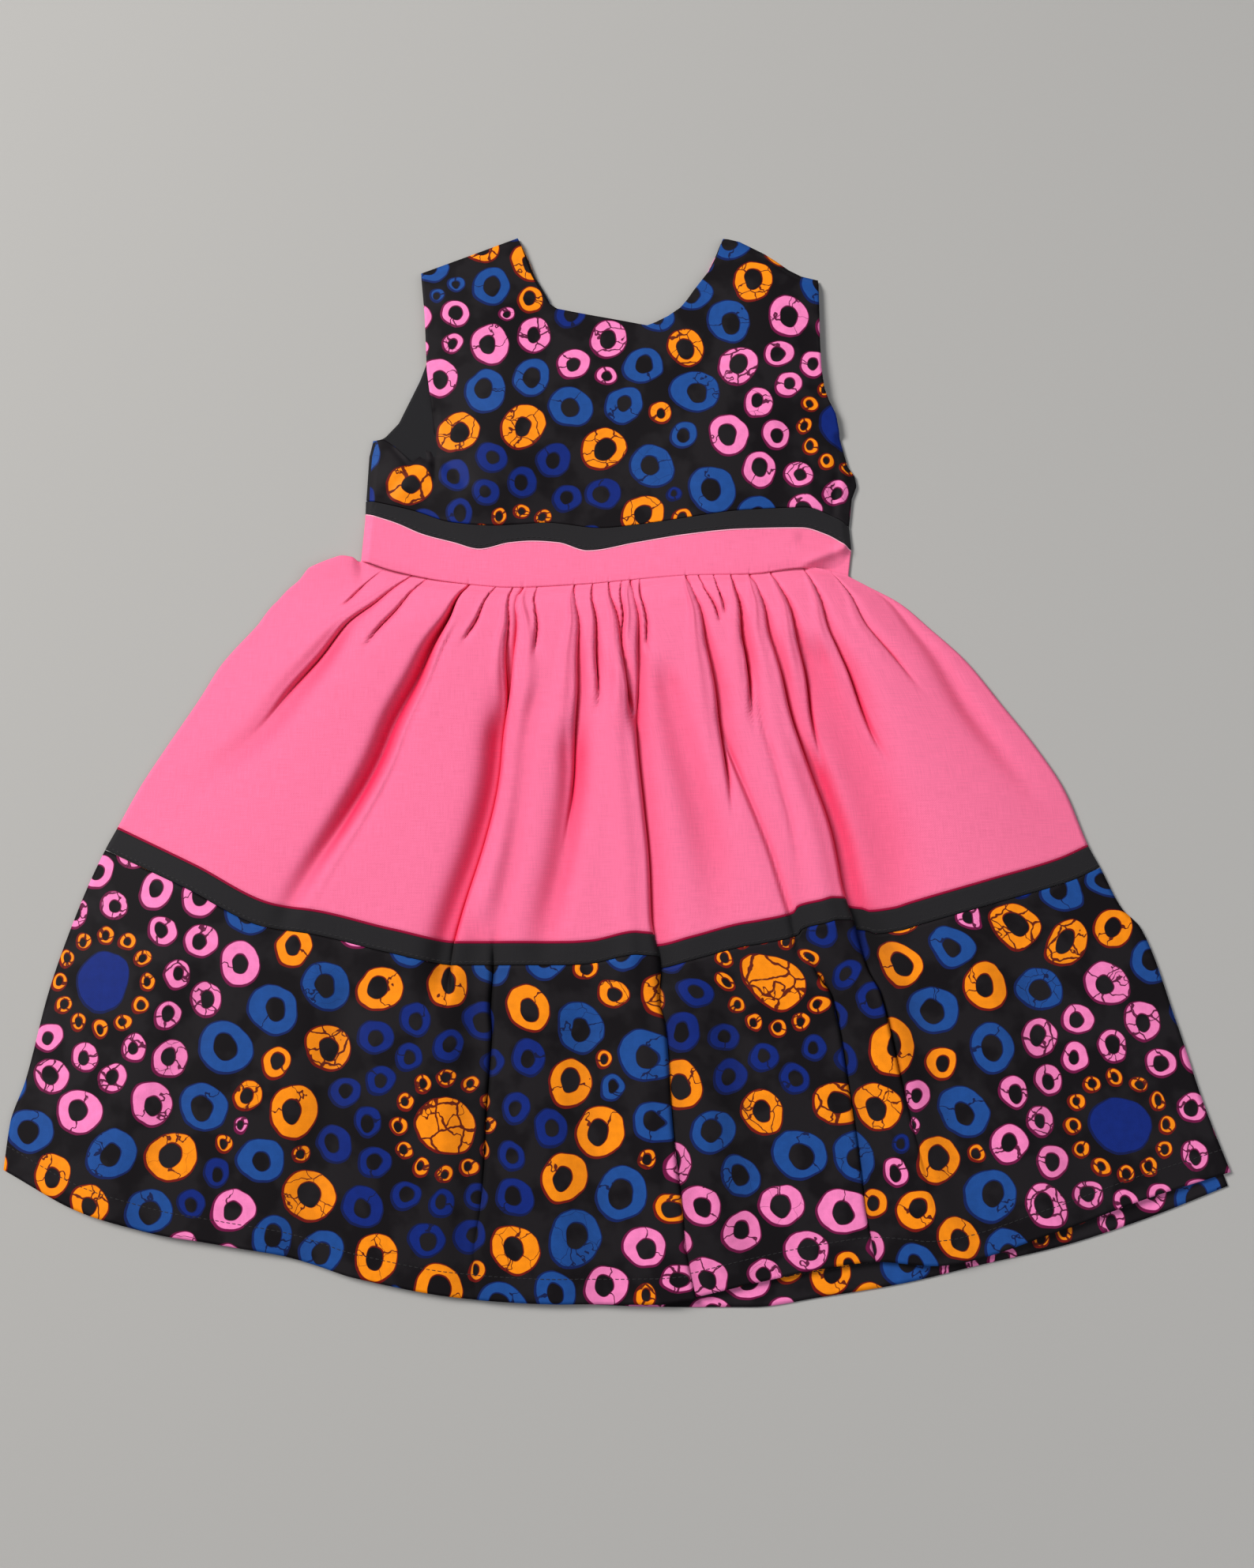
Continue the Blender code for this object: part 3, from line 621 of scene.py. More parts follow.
def soft_edge(tree, value, edge, softness):
    """1 below an edge and 0 above it, with a smooth turn as wide as twice the softness."""
    node = tree.nodes.new("ShaderNodeMapRange")
    node.interpolation_type = "SMOOTHSTEP"
    tree.links.new(value, node.inputs["Value"])
    for name, shift in (("From Min", -softness), ("From Max", softness)):
        linked = isinstance(edge, bpy.types.NodeSocket)
        feed(tree, node.inputs[name], calc(tree, "ADD", edge, shift) if linked else edge + shift)
    node.inputs["To Min"].default_value, node.inputs["To Max"].default_value = 1.0, 0.0
    return node.outputs["Result"]


def blend(tree, share, first, second):
    """A Mix node between two colours, each a socket or red, green and blue."""
    node = tree.nodes.new("ShaderNodeMix")
    node.data_type = "RGBA"
    node.clamp_factor = True
    for socket, value in ((node.inputs[0], share), (node.inputs[6], first), (node.inputs[7], second)):
        feed(tree, socket, value)
    return node.outputs[2]


def group(name, inputs, outputs):
    """A shader node group with named sockets; each row is a name, a type and a first value."""
    tree = bpy.data.node_groups.new(name, "ShaderNodeTree")
    for label, kind, value in inputs:
        made = tree.interface.new_socket(label, in_out="INPUT", socket_type=kind)
        if value is not None:
            made.default_value = value
    for label, kind in outputs:
        tree.interface.new_socket(label, in_out="OUTPUT", socket_type=kind)
    return tree, tree.nodes.new("NodeGroupInput"), tree.nodes.new("NodeGroupOutput")


# %% [markdown]
# ### Plain weave
# Threads cross over and under. The product of a sine along each way gives the little hills, and
# a stretched noise along each way gives the thicker threads that make cotton look like cotton.

# %% The weave group
def weave_group():
    """Height is the product of two sines; tint is two noises, each stretched along a thread."""
    tree, given, made = group(
        "plain_weave",
        [("Cloth", "NodeSocketVector", None), ("Threads per mm", "NodeSocketFloat", 1.6)],
        [("Height", "NodeSocketFloat"), ("Tint", "NodeSocketFloat")],
    )
    across, up, _ = split(tree, given.outputs["Cloth"])
    pitch = calc(tree, "MULTIPLY", given.outputs["Threads per mm"], 1000 * math.pi)
    warp = calc(tree, "SINE", calc(tree, "MULTIPLY", across, pitch))
    weft = calc(tree, "SINE", calc(tree, "MULTIPLY", up, pitch))
    slubs = []
    for stretch in ((2400.0, 90.0, 0.0), (90.0, 2400.0, 0.0)):
        place = vector(tree, "MULTIPLY", given.outputs["Cloth"], stretch)
        slubs.append(noise(tree, place, 1.0, 2.0, "3D")["Fac"])
    tint = calc(tree, "MULTIPLY", calc(tree, "ADD", *slubs), 0.5)
    threads = calc(tree, "MULTIPLY", calc(tree, "MULTIPLY", warp, weft), 0.35)
    tree.links.new(calc(tree, "ADD", threads, tint), made.inputs["Height"])
    tree.links.new(tint, made.inputs["Tint"])
    return tree


WEAVE = weave_group()
print("weave group:", len(WEAVE.nodes), "nodes")

# %% [markdown]
# ### Rings for the wax print
# Wax prints are often covered with hand-cut rings. Here discs stand on a half-drop lattice, each
# in a loop of small rings, and loose rings are packed outwards from the loops, always one gap
# from what is there, as a block cutter fills a block. The ink of a ring follows from how far it
# is from a disc. It is all rule and seeded chance, so the same cloth comes out on every run.

# %% One repeat of loose rings
DISC_SPACING = 192.0    # across, in millimetres
DISC_DROP = 78.0        # how much lower every other column of discs stands
DISC_REPEAT = 300.0     # down the cloth
DISC_START = np.array([-291.0, -112.0])
DISC_RADIUS = 16.6
LOOP_RADIUS, LOOP_RING, LOOP_COUNT = 25.6, 5.2, 12
RING_GAP = 2.5
SIZE_ZONES = (46.0, 62.0, 84.0, 106.0)      # distances from a disc at which the ring size changes
RING_SIZES = (8.6, 10.5, 13.6, 14.0, 12.2)
SMALLEST_RING, LARGEST_FILLER = 4.8, 9.0
SPOT_STEP, SPOT_SHAKE = 2.0, 0.9    # of the grid of spots on which a ring may stand
MOST_SLACK, SLACK_COST = 2.2, 3.6   # room between a new ring and its neighbour, past their gap
RING_SEED, CHANCE_SEED = 11, 4


def ring_repeat():
    """x, y, radius and kind of the loose rings in one repeat; a ring that fills a hole is kind 1.

    Each step takes a free spot near to a disc that lies hardly more than one gap from a ring,
    until none is left. The holes that remain are then filled from the widest one down.
    """
    draw = np.random.default_rng(RING_SEED)
    wide, tall = 2 * DISC_SPACING, DISC_REPEAT
    x, y = np.meshgrid(np.arange(0, wide, SPOT_STEP), np.arange(0, tall, SPOT_STEP))
    x, y = (part + draw.uniform(-SPOT_SHAKE, SPOT_SHAKE, part.shape) for part in (x, y))

    def away(at_x, at_y):
        """Distance from a spot to every grid point, round the edges of the repeat."""
        across = (x - at_x + wide / 2) % wide - wide / 2
        return np.hypot(across, (y - at_y + tall / 2) % tall - tall / 2)

    reach = np.minimum(away(0, 0), away(DISC_SPACING, -DISC_DROP))
    room = reach - LOOP_RADIUS - LOOP_RING - 0.3
    size = np.array(RING_SIZES)[np.searchsorted(SIZE_ZONES, reach)]
    size = size * (1 + 0.08 * np.sin(6 * np.pi * x / wide + 1) * np.sin(4 * np.pi * y / tall))
    rings = []
    while True:
        want = size * draw.uniform(0.92, 1.08)
        slack = room - want - RING_GAP
        score = reach + SLACK_COST * slack + draw.uniform(0, 6, reach.shape)
        free = (slack >= 0) & (slack < MOST_SLACK)
        if not free.any():
            break
        at = np.unravel_index(np.where(free, score, np.inf).argmin(), room.shape)
        rings.append((x[at], y[at], want[at], 0))
        room = np.minimum(room, away(x[at], y[at]) - want[at])
    while room.max() - RING_GAP > SMALLEST_RING:
        at = np.unravel_index(room.argmax(), room.shape)
        rings.append((x[at], y[at], min(room[at] - RING_GAP, LARGEST_FILLER), 1))
        room = np.minimum(room, away(x[at], y[at]) - rings[-1][2])
    return np.array(rings)


# %% Every ring on the cloth, with its ink
INKS = np.array([   # fill and rim of each ink: blue, dark blue, orange, pink
    [[0.011, 0.070, 0.29], [0.004, 0.014, 0.10]],
    [[0.003, 0.018, 0.18], [0.003, 0.008, 0.070]],
    [[1.0, 0.280, 0.003], [0.17, 0.005, 0.003]],
    [[0.96, 0.230, 0.53], [0.16, 0.004, 0.055]],
])
CRACKED = np.array([0.7, 0.16, 1.0, 1.0])       # how far the wax of each ink may crack
BLUE, DARK_BLUE, ORANGE, PINK_INK = range(4)
# Distances from the nearest disc at which a ring's ink changes, and the inks between them
BY_BLUE_DISC = ((78, 100, 122), (PINK_INK, BLUE, ORANGE, BLUE))
BY_ORANGE_DISC = ((66, 88, 112), (DARK_BLUE, ORANGE, BLUE, PINK_INK))
ODD_SHARE, ODD_INKS = 0.55, (ORANGE, PINK_INK, DARK_BLUE, ORANGE)   # of the rings that fill holes
RING_SPREAD, HOLE_SPREAD = (0.94, 1.02), (0.40, 0.50)   # of a radius, of a hole against its ring
SEEN_MIDDLE, SEEN_REACH = (30.0, 20.0), (480.0, 420.0)  # of the part of the cloth that is cut out


def ring_table():
    """Rows of x, y, radius, share of the hole, two chances, cracks, and the ink's number."""
    draw = np.random.default_rng(CHANCE_SEED)
    loose = ring_repeat()
    repeat = np.array([2 * DISC_SPACING, DISC_REPEAT])
    tiles = np.stack(np.meshgrid(np.arange(-2, 4), np.arange(-3, 4)), axis=-1).reshape(-1, 1, 2)
    place = (DISC_START + loose[:, :2] + tiles * repeat).reshape(-1, 2)
    radius, filler = (np.tile(loose[:, i], len(tiles)) for i in (2, 3))
    column, row = (part.ravel() for part in np.meshgrid(np.arange(-5, 9), np.arange(-4, 6)))
    steps = np.stack([column * DISC_SPACING, row * DISC_REPEAT - (column % 2) * DISC_DROP], axis=-1)
    discs = DISC_START + steps
    blue_disc = (column + row) % 3 == 0

    reach = np.hypot(*(place[:, None] - discs).transpose(2, 0, 1))
    near_blue = blue_disc[reach.argmin(1)]
    reach = reach.min(1) + draw.uniform(-3, 3, len(place))
    by_blue, by_orange = (
        np.array(inks)[np.searchsorted(zones, reach)] for zones, inks in (BY_BLUE_DISC, BY_ORANGE_DISC)
    )
    ink = np.where(near_blue, by_blue, by_orange)
    odd = (draw.uniform(size=len(place)) < ODD_SHARE) & (filler == 1)
    ink = np.where(odd, draw.choice(ODD_INKS, len(place)), ink)

    turn = 2 * np.pi * np.arange(LOOP_COUNT) / LOOP_COUNT
    loop = discs[:, None] + LOOP_RADIUS * np.stack([np.cos(turn), np.sin(turn)], axis=-1)
    loop = loop.reshape(-1, 2)
    places = np.concatenate([place, loop, discs])
    sizes = np.concatenate([radius, np.full(len(loop), LOOP_RING), np.full(len(discs), DISC_RADIUS)])
    disc = np.arange(len(sizes)) >= len(place) + len(loop)
    sizes = np.where(disc, sizes, sizes * draw.uniform(*RING_SPREAD, len(sizes)))
    holes = np.where(disc, -1, draw.uniform(*HOLE_SPREAD, len(sizes)))
    inks = np.concatenate([ink, np.full(len(loop), ORANGE), np.where(blue_disc, DARK_BLUE, ORANGE)])
    cracks = draw.uniform(size=len(sizes)) * CRACKED[inks]
    cracks[disc] = np.where(blue_disc, 0.0, 1.0)
    table = np.column_stack([places, sizes, holes, draw.uniform(size=(len(sizes), 2)), cracks, inks])
    return table[(np.abs(places - SEEN_MIDDLE) < SEEN_REACH).all(1)]


RINGS = ring_table()
print(len(RINGS), "rings and discs")


# %% The rings' data on a cloth's faces
def print_on(mesh, middles):
    """Gives each face the ring whose edge is nearest to the face's middle, as attributes.

    A face is smaller than the gap between two rings, so one ring is all that it can show.
    """
    nearest = np.concatenate([
        (np.hypot(*(some[:, None] - RINGS[:, :2]).transpose(2, 0, 1)) - RINGS[:, 2]).argmin(1)
        for some in np.array_split(middles, len(middles) // 2000 + 1)
    ])
    ring = RINGS[nearest]
    inks = INKS[ring[:, 7].astype(int)]
    for name, values in (
        ("ring_place", ring[:, :3]), ("ring_shape", ring[:, 3:6]),
        ("ring_cracks", np.repeat(ring[:, 6:7], 3, axis=1)),
        ("ring_fill", inks[:, 0]), ("ring_rim", inks[:, 1]),
    ):
        made = mesh.attributes.new(name, "FLOAT_VECTOR", "FACE")
        made.data.foreach_set("vector", values.ravel())


# %% [markdown]
# ### The wax print's shader
# The wax keeps the dye off, cracks as it is worked, and lets thin dark veins through. The group
# draws a ring's true edge from the place and size that the face carries, so the ring stays sharp
# however large the faces are. A little noise in the place gives the edge its hand-cut wobble.

# %% The wax print group
GROUND = (0.0110, 0.0088, 0.0108)
# The black of the painted sheen's dark patches
SHADED_GROUND = (0.0042, 0.0026, 0.0040)
# Lengths in the group are in millimetres
WOBBLES = ((11.0, 1.8), (3.5, 0.2))     # size of a noise, how far it moves the outline
SHRINK = 1.03                           # of a ring against its radius, on average
SWELLS = (0.066, 0.026, 0.012)          # of the outline, twice, three and five times in a turn
OFF_MIDDLE, OVAL = 0.11, (1.12, 0.95, 0.0)      # of the hole: shift against the radius, squeeze
EDGE_SOFTNESS, RIM_SOFTNESS = 0.16, 0.2
OUTER_RIM, OUTER_SHIFT = 1.0, (-0.42, -0.45, 0.0)
INNER_RIM, INNER_SHIFT = 0.5, (-0.2, -0.2, 0.0)
VEIN_CELL, VEIN_SOFTNESS = 13.0, 0.012
VEIN_START, VEIN_GROWTH, VEIN_LEAST = 0.62, 0.13, -0.02
CRACK_WIDTH, CRACK_SOFTNESS, CRACK_BEND = 0.55, 0.18, 1.9
CRACKS = ((0, 1.0, 0.06), (1, 1.0, 0.22), (0, 3.7, 0.42))   # chance, its turns, least amount to open
SHEEN_PATCH_SCALE, STAIN_SCALE = 0.034, 0.22  # per millimetre; the first is the size of the painted sheen's patches


def wobbled(tree, flat):
    """The place on the cloth, pushed about by noises less their mean."""
    place = flat
    for size, push in WOBBLES:
        shaken = noise(tree, vector(tree, "SCALE", flat, scale=1 / size), 1.0, 1.0)
        shift = vector(tree, "SUBTRACT", shaken["Color"], (0.5, 0.5, 0.5))
        place = vector(tree, "ADD", place, vector(tree, "SCALE", shift, scale=push))
    return place


def ring_between(tree, outer, outer_edge, inner, inner_edge, softness):
    """1 where one length is under the outer edge and another is over the inner edge."""
    body = soft_edge(tree, outer, outer_edge, softness)
    hole = soft_edge(tree, inner, inner_edge, softness)
    return calc(tree, "MULTIPLY", body, calc(tree, "SUBTRACT", 1.0, hole))


def cut_ring(tree, spot, size, shape):
    """The angle and length from a ring's middle, the mask of its ink and that of its fill.

    The outline swells and shrinks with the angle, twice, three and five times in one turn, so
    that a ring is an egg with flats. The hole is an oval off the middle. The fill is shifted,
    so the rim is heavier on the lower left, where the second block was a little out of place.
    """
    x, y, _ = split(tree, spot)
    hole_share, first, second = shape
    angle = calc(tree, "ARCTAN2", y, x)

    def wave(times, chance, depth):
        """A cosine of so many times the angle, started at a chance, as deep as the last value."""
        start = calc(tree, "MULTIPLY", chance, 2 * math.pi * times)
        turned = calc(tree, "MULTIPLY_ADD", angle, times, start)
        return calc(tree, "MULTIPLY", calc(tree, "COSINE", turned), depth)

    twice, thrice, five_times = map(wave, (2, 3, 5), (first, second, first), SWELLS)
    swell = calc(tree, "ADD", twice, calc(tree, "ADD", thrice, five_times))
    arm = vector(tree, "SCALE", spot, scale=calc(tree, "ADD", swell, SHRINK))
    arm = vector(tree, "MULTIPLY", arm, (1.0, 1.0, 0.0))
    off = tree.nodes.new("ShaderNodeCombineXYZ")
    for socket, chance in zip(off.inputs, (second, first)):
        share = calc(tree, "MULTIPLY_ADD", chance, 2 * OFF_MIDDLE, -OFF_MIDDLE)
        tree.links.new(calc(tree, "MULTIPLY", share, size), socket)
    hole_arm = vector(tree, "MULTIPLY", vector(tree, "ADD", arm, off.outputs[0]), OVAL)
    length, hole = vector(tree, "LENGTH", arm), vector(tree, "LENGTH", hole_arm)
    hole_size = calc(tree, "MULTIPLY", size, hole_share)
    cover = ring_between(tree, length, size, hole, hole_size, EDGE_SOFTNESS)
    outer = vector(tree, "LENGTH", vector(tree, "ADD", arm, OUTER_SHIFT))
    inner = vector(tree, "LENGTH", vector(tree, "ADD", hole_arm, INNER_SHIFT))
    outer_edge = calc(tree, "SUBTRACT", size, OUTER_RIM)
    inner_edge = calc(tree, "ADD", hole_size, INNER_RIM)
    fill = ring_between(tree, outer, outer_edge, inner, inner_edge, RIM_SOFTNESS)
    return angle, length, cover, fill


def wax_cracks(tree, flat, amount, chances, angle, length):
    """Mask of the dark veins: borders of warped cells, and three cracks outwards from the hole.

    The borders are wider on the rings that cracked most. The distance of a place from a line
    through the ring's middle is its length times the sine of its angle from the line, and the
    cosine picks one half of the line.
    """
    cells = vector(tree, "SCALE", flat, scale=1 / VEIN_CELL)
    bending = noise(tree, cells, 1.6, 2.0)
    wander = vector(tree, "SUBTRACT", bending["Color"], (0.5, 0.5, 0.5))
    borders = tree.nodes.new("ShaderNodeTexVoronoi")
    borders.voronoi_dimensions, borders.feature = "2D", "DISTANCE_TO_EDGE"
    borders.inputs["Scale"].default_value = 1.0
    bent = vector(tree, "ADD", cells, vector(tree, "SCALE", wander, scale=0.4))
    tree.links.new(bent, borders.inputs["Vector"])
    wide = calc(tree, "MULTIPLY", calc(tree, "SUBTRACT", amount, VEIN_START), VEIN_GROWTH)
    wide = calc(tree, "MAXIMUM", wide, VEIN_LEAST)
    veins = soft_edge(tree, borders.outputs["Distance"], wide, VEIN_SOFTNESS)
    bend = calc(tree, "MULTIPLY", calc(tree, "SUBTRACT", bending["Fac"], 0.5), CRACK_BEND)
    for which, turns, least in CRACKS:
        start = calc(tree, "MULTIPLY_ADD", chances[which], 2 * math.pi * turns, angle)
        turned = calc(tree, "ADD", start, bend)
        aside = calc(tree, "ABSOLUTE", calc(tree, "MULTIPLY", calc(tree, "SINE", turned), length))
        here = calc(tree, "GREATER_THAN", calc(tree, "COSINE", turned), 0.0)
        open_here = calc(tree, "MULTIPLY", here, calc(tree, "GREATER_THAN", amount, least))
        line = soft_edge(tree, aside, CRACK_WIDTH, CRACK_SOFTNESS)
        veins = calc(tree, "MAXIMUM", veins, calc(tree, "MULTIPLY", line, open_here))
    return veins


def print_group():
    """Ink where the distance to the ring's middle is under its radius and over its hole's."""
    tree, given, made = group(
        "wax_print",
        [("Cloth", "NodeSocketVector", None), ("Ring", "NodeSocketVector", None),
         ("Shape", "NodeSocketVector", None), ("Cracks", "NodeSocketFloat", 0.0),
         ("Fill", "NodeSocketColor", None), ("Rim", "NodeSocketColor", None)],
        [("Color", "NodeSocketColor"), ("Ink", "NodeSocketFloat")],
    )
    flat = vector(tree, "SCALE", given.outputs["Cloth"], scale=1000.0)
    size = split(tree, given.outputs["Ring"])["Z"]
    shape = split(tree, given.outputs["Shape"])
    spot = vector(tree, "SUBTRACT", wobbled(tree, flat), given.outputs["Ring"])
    angle, length, cover, fill = cut_ring(tree, spot, size, shape)
    veins = wax_cracks(tree, flat, given.outputs["Cracks"], shape[1:], angle, length)

    ink = blend(tree, fill, given.outputs["Rim"], given.outputs["Fill"])
    ink = blend(tree, calc(tree, "MULTIPLY", veins, 0.95), ink, given.outputs["Rim"])
    stain = noise(tree, flat, STAIN_SCALE, 3.0)["Fac"]
    ink = vector(tree, "SCALE", ink, scale=calc(tree, "MULTIPLY_ADD", stain, 0.3, 0.85))
    cover = calc(tree, "MULTIPLY", cover, calc(tree, "MULTIPLY_ADD", veins, -0.4, 1.0))
    # Painted sheen: in random patches of some 30 mm the black is deeper, as a sheeny black cotton is where
    # it catches no light
    sheen_patches = soft_edge(tree, noise(tree, flat, SHEEN_PATCH_SCALE, 3.0)["Fac"], 0.5, 0.09)
    ground = blend(tree, sheen_patches, GROUND, SHADED_GROUND)
    tree.links.new(blend(tree, cover, ground, ink), made.inputs["Color"])
    tree.links.new(cover, made.inputs["Ink"])
    return tree


WAX_PRINT = print_group()
print("print group:", len(WAX_PRINT.nodes), "nodes")

# %% [markdown]
# ## Materials
# All the cloth is matt cotton, and the plain ones have a little sheen. In the folds and on their steep
# sides the colour is painted darker: painted shade, which stands in for light that bounces inside a fold
# and takes the cloth's colour each time, so the pink's shadows turn deep red and not grey.

# %% Cloth materials
PAINTED_SHADE_POWER = 1.05       # power of the painted shade: above 1, a fold takes its painted shade late
WEAVE_HEIGHT = 0.2      # of the threads' hills, in millimetres, before a cloth's own share of it


def cloth_material(name, colour=None, roughness=0.85, sheen=0.1, bump=0.25, threads=1.6,
                   uneven=0.12, painted_shade_tint=None, gloss=0.25):
    """A cotton: a plain colour or the wax print, varied and raised by the weave.

    In the folds the colour is multiplied by another, as far as the cloth's painted shade attribute says:
    painted shade, standing in for light that has met the cloth several times and has its colour several
    times over.
    """
    made = bpy.data.materials.new(name)
    made.use_nodes = True
    tree = made.node_tree
    shader = tree.nodes["Principled BSDF"]
    shader.inputs["Roughness"].default_value = roughness
    shader.inputs["Sheen Weight"].default_value = sheen
    shader.inputs["Sheen Roughness"].default_value = 0.5
    shader.inputs["Specular IOR Level"].default_value = gloss
    cloth = tree.nodes.new("ShaderNodeUVMap")
    cloth.uv_map = "cloth"
    weave = tree.nodes.new("ShaderNodeGroup")
    weave.node_tree = WEAVE
    weave.inputs["Threads per mm"].default_value = threads
    tree.links.new(cloth.outputs[0], weave.inputs["Cloth"])
    if colour is None:
        printed = tree.nodes.new("ShaderNodeGroup")
        printed.node_tree = WAX_PRINT
        tree.links.new(cloth.outputs[0], printed.inputs["Cloth"])
        for name, output, socket in (
            ("ring_place", "Vector", "Ring"), ("ring_shape", "Vector", "Shape"),
            ("ring_cracks", "Fac", "Cracks"), ("ring_fill", "Color", "Fill"), ("ring_rim", "Color", "Rim"),
        ):
            tree.links.new(attribute(tree, name, output), printed.inputs[socket])
        colour = printed.outputs["Color"]
        rough = calc(tree, "MULTIPLY_ADD", printed.outputs["Ink"], -0.08, roughness)
        tree.links.new(rough, shader.inputs["Roughness"])
    # Painted shade: the colour goes towards its shade tint as far as the fold attribute says
    if painted_shade_tint is not None:
        shade_amount = calc(tree, "POWER", attribute(tree, "painted_shade"), PAINTED_SHADE_POWER)
        colour = blend(tree, shade_amount, colour, vector(tree, "MULTIPLY", colour, painted_shade_tint))
    vary = calc(tree, "MULTIPLY_ADD", weave.outputs["Tint"], 2 * uneven, 1 - uneven)
    tree.links.new(vector(tree, "SCALE", colour, scale=vary), shader.inputs["Base Color"])
    raise_up = tree.nodes.new("ShaderNodeBump")
    raise_up.inputs["Strength"].default_value = bump
    raise_up.inputs["Distance"].default_value = WEAVE_HEIGHT * MM
    tree.links.new(weave.outputs["Height"], raise_up.inputs["Height"])
    tree.links.new(raise_up.outputs[0], shader.inputs["Normal"])
    return made


# Painted shade tints of the folds: the print and the black go darker, the pink goes deep red
PRINT = cloth_material("wax_print_cotton", roughness=0.70, sheen=0.0, bump=0.12,
                       painted_shade_tint=(0.34, 0.30, 0.32), gloss=0.14)
PINK = cloth_material("pink_cotton", (0.97, 0.184, 0.350), sheen=0.05, bump=0.3,
                      uneven=0.3, painted_shade_tint=(0.80, 0.13, 0.27), gloss=0.12)
BLACK = cloth_material("black_cotton", (0.0125, 0.0115, 0.0135), sheen=0.06,
                       uneven=0.25, painted_shade_tint=(0.4, 0.4, 0.4))
LINING = cloth_material("black_lining", (0.0095, 0.0090, 0.0110), sheen=0.05, threads=2.2)
TAPE = cloth_material("zip_tape", (0.014, 0.014, 0.016), bump=0.5, threads=1.0)
# Painted highlight: the waistband's turned edge is coloured paler than the pink cotton, where it catches
# the light
EDGE_HIGHLIGHT = cloth_material("painted_highlight_edge", (0.95, 0.42, 0.56), bump=0.3)
RED_THREAD = cloth_material("dark_red_edge", (0.30, 0.002, 0.035), bump=0.3, gloss=0.1)
BLACK_THREAD = cloth_material("black_thread", (0.02, 0.018, 0.02), bump=0.3)
print("materials:", [m.name for m in bpy.data.materials if m.users])

# %% [markdown]
# ## The front of the skirt
# The pink skirt, the black band and the print tier are sewn edge to edge and share every fold,
# so one surface is cut into three at its seams. Columns crowd together at each crease, because
# that is where the cloth turns sharply.

# %% Skirt, band and tier in front
FINE_STEPS = 1600           # across the skirt, at which the density of the columns is summed
STEEP, STEEP_SHADE = 0.9, 0.45      # slope that counts in full, and how much painted shade it gives a point
GATHERED_SHARE = 1.12       # area of a gathered sheet, against that of its grid's measures
UNDER_BAND = (-1.4, -0.6)   # the skirt's first two rows, which lie under the waistband
PINK_CUT, BAND_CUT, TIER_CUT = (0.60, 0.215), (0.62, 0.014), (0.70, 0.20)


def fold_columns(down, count):
    """Places across the skirt of a grid's columns: even, but up to eight times closer at a fold.

    Each fold adds a bell to the density of the columns, and they share its running sum evenly.
    """
    fine = np.linspace(0, 1, FINE_STEPS + 1)[None, :]
    level = down[:, None]
    density = np.ones((len(down), fine.size))
    for place, share, half_width, over, top in fold_lines(level):
        offset = (fine - place) * skirt_width(level) / half_width
        density += (3 * share + over) * np.exp(-((offset / (1.6 if top == 0 else 2.6)) ** 2))
    run = np.cumsum(density, axis=1)
    run = (run - run[:, :1]) / (run[:, -1:] - run[:, :1])
    even = np.linspace(0, 1, count)
    return np.stack([np.interp(even, line, fine[0]) for line in run])


def skirt_rows(start, end, count, crowd=1.0):
    """Distances down the cloth, half a seam's gap inside each seam, crowded at the start."""
    last = end if end == SKIRT_LENGTH else end - SEAM_GAP / 2
    return start + SEAM_GAP / 2 + (last - start - SEAM_GAP / 2) * np.linspace(0, 1, count) ** crowd


def front_grid(rows, columns):
    """The gathered front's points, measures and hollows on a grid that crowds at its folds."""
    down = np.repeat(rows[:, None], columns, axis=1)
    return skirt_front_surface(fold_columns(rows, columns), down)


def front_piece(part, rows, columns, material, cut):
    """A panel of the gathered front, with painted shade where it lies deep in a fold or stands steep."""
    points, measures, painted_shade = front_grid(rows, columns)
    rise, run = (np.abs(np.gradient(points[..., i], axis=1)) for i in (2, 0))
    # Painted shade: the steep sides of the folds get it as well as their feet.
    painted_shade = np.clip(painted_shade + STEEP_SHADE * smooth_step(rise / (run + 0.05) / STEEP), 0, 1)
    grids = [(points[::-1], measures[::-1])]
    piece = sheet_piece(f"{part}_front_cloth", grids, material, painted_shade=painted_shade[::-1])
    area = GATHERED_SHARE * flat_area(measures)
    cut_from(piece, f"front_{part}", cut, area, "gathered", rests_on=[f"back_{part}"])


pink_rows = np.concatenate([UNDER_BAND, skirt_rows(0, PINK_LENGTH, 102, 1.25)])
front_piece("skirt", pink_rows, 440, PINK, PINK_CUT)
front_piece("hem_band", skirt_rows(PINK_LENGTH, TIER_TOP, 9), 400, BLACK, BAND_CUT)
front_piece("hem_tier", skirt_rows(TIER_TOP, SKIRT_LENGTH, 104), 410, PRINT, TIER_CUT)

# %% [markdown]
# ## The back of the skirt
# The back lies flat on the floor under the front, a little narrower, and its hem is longer on the
# right, where its turned-up edge looks out from under the front.

# %% Skirt, band and tier at the back
BACK_TUCK = 1.5     # how far each side of the back lies inside the front's
# Each panel is cut from another place on the bolt than the front tier, as far off as this
BACK_TIER_SHIFT, FRONT_BODICE_SHIFT, BACK_BODICE_SHIFT = (60.0, 35.0), (-37.0, -25.0), (50.0, 50.0)


def back_piece(part, rows, columns, material, cut):
    """A flat panel on the floor, between the back's tier seam and hem."""
    down = np.repeat(rows[:, None], columns, axis=1)
    tuck = BACK_TUCK / skirt_width(down)
    across = tuck + (1 - 2 * tuck) * np.linspace(0, 1, columns)
    flat = np.stack(skirt_plan(across, down, BACK_TIER_SEAM, BACK_HEM), axis=-1)
    measures = flat + BACK_TIER_SHIFT
    grids = [(raised(flat, 0.0)[::-1], measures[::-1])]
    piece = sheet_piece(f"{part}_back_cloth", grids, material, BACK_CLOTH, 1.0)
    cut_from(piece, f"back_{part}", cut, flat_area(measures))


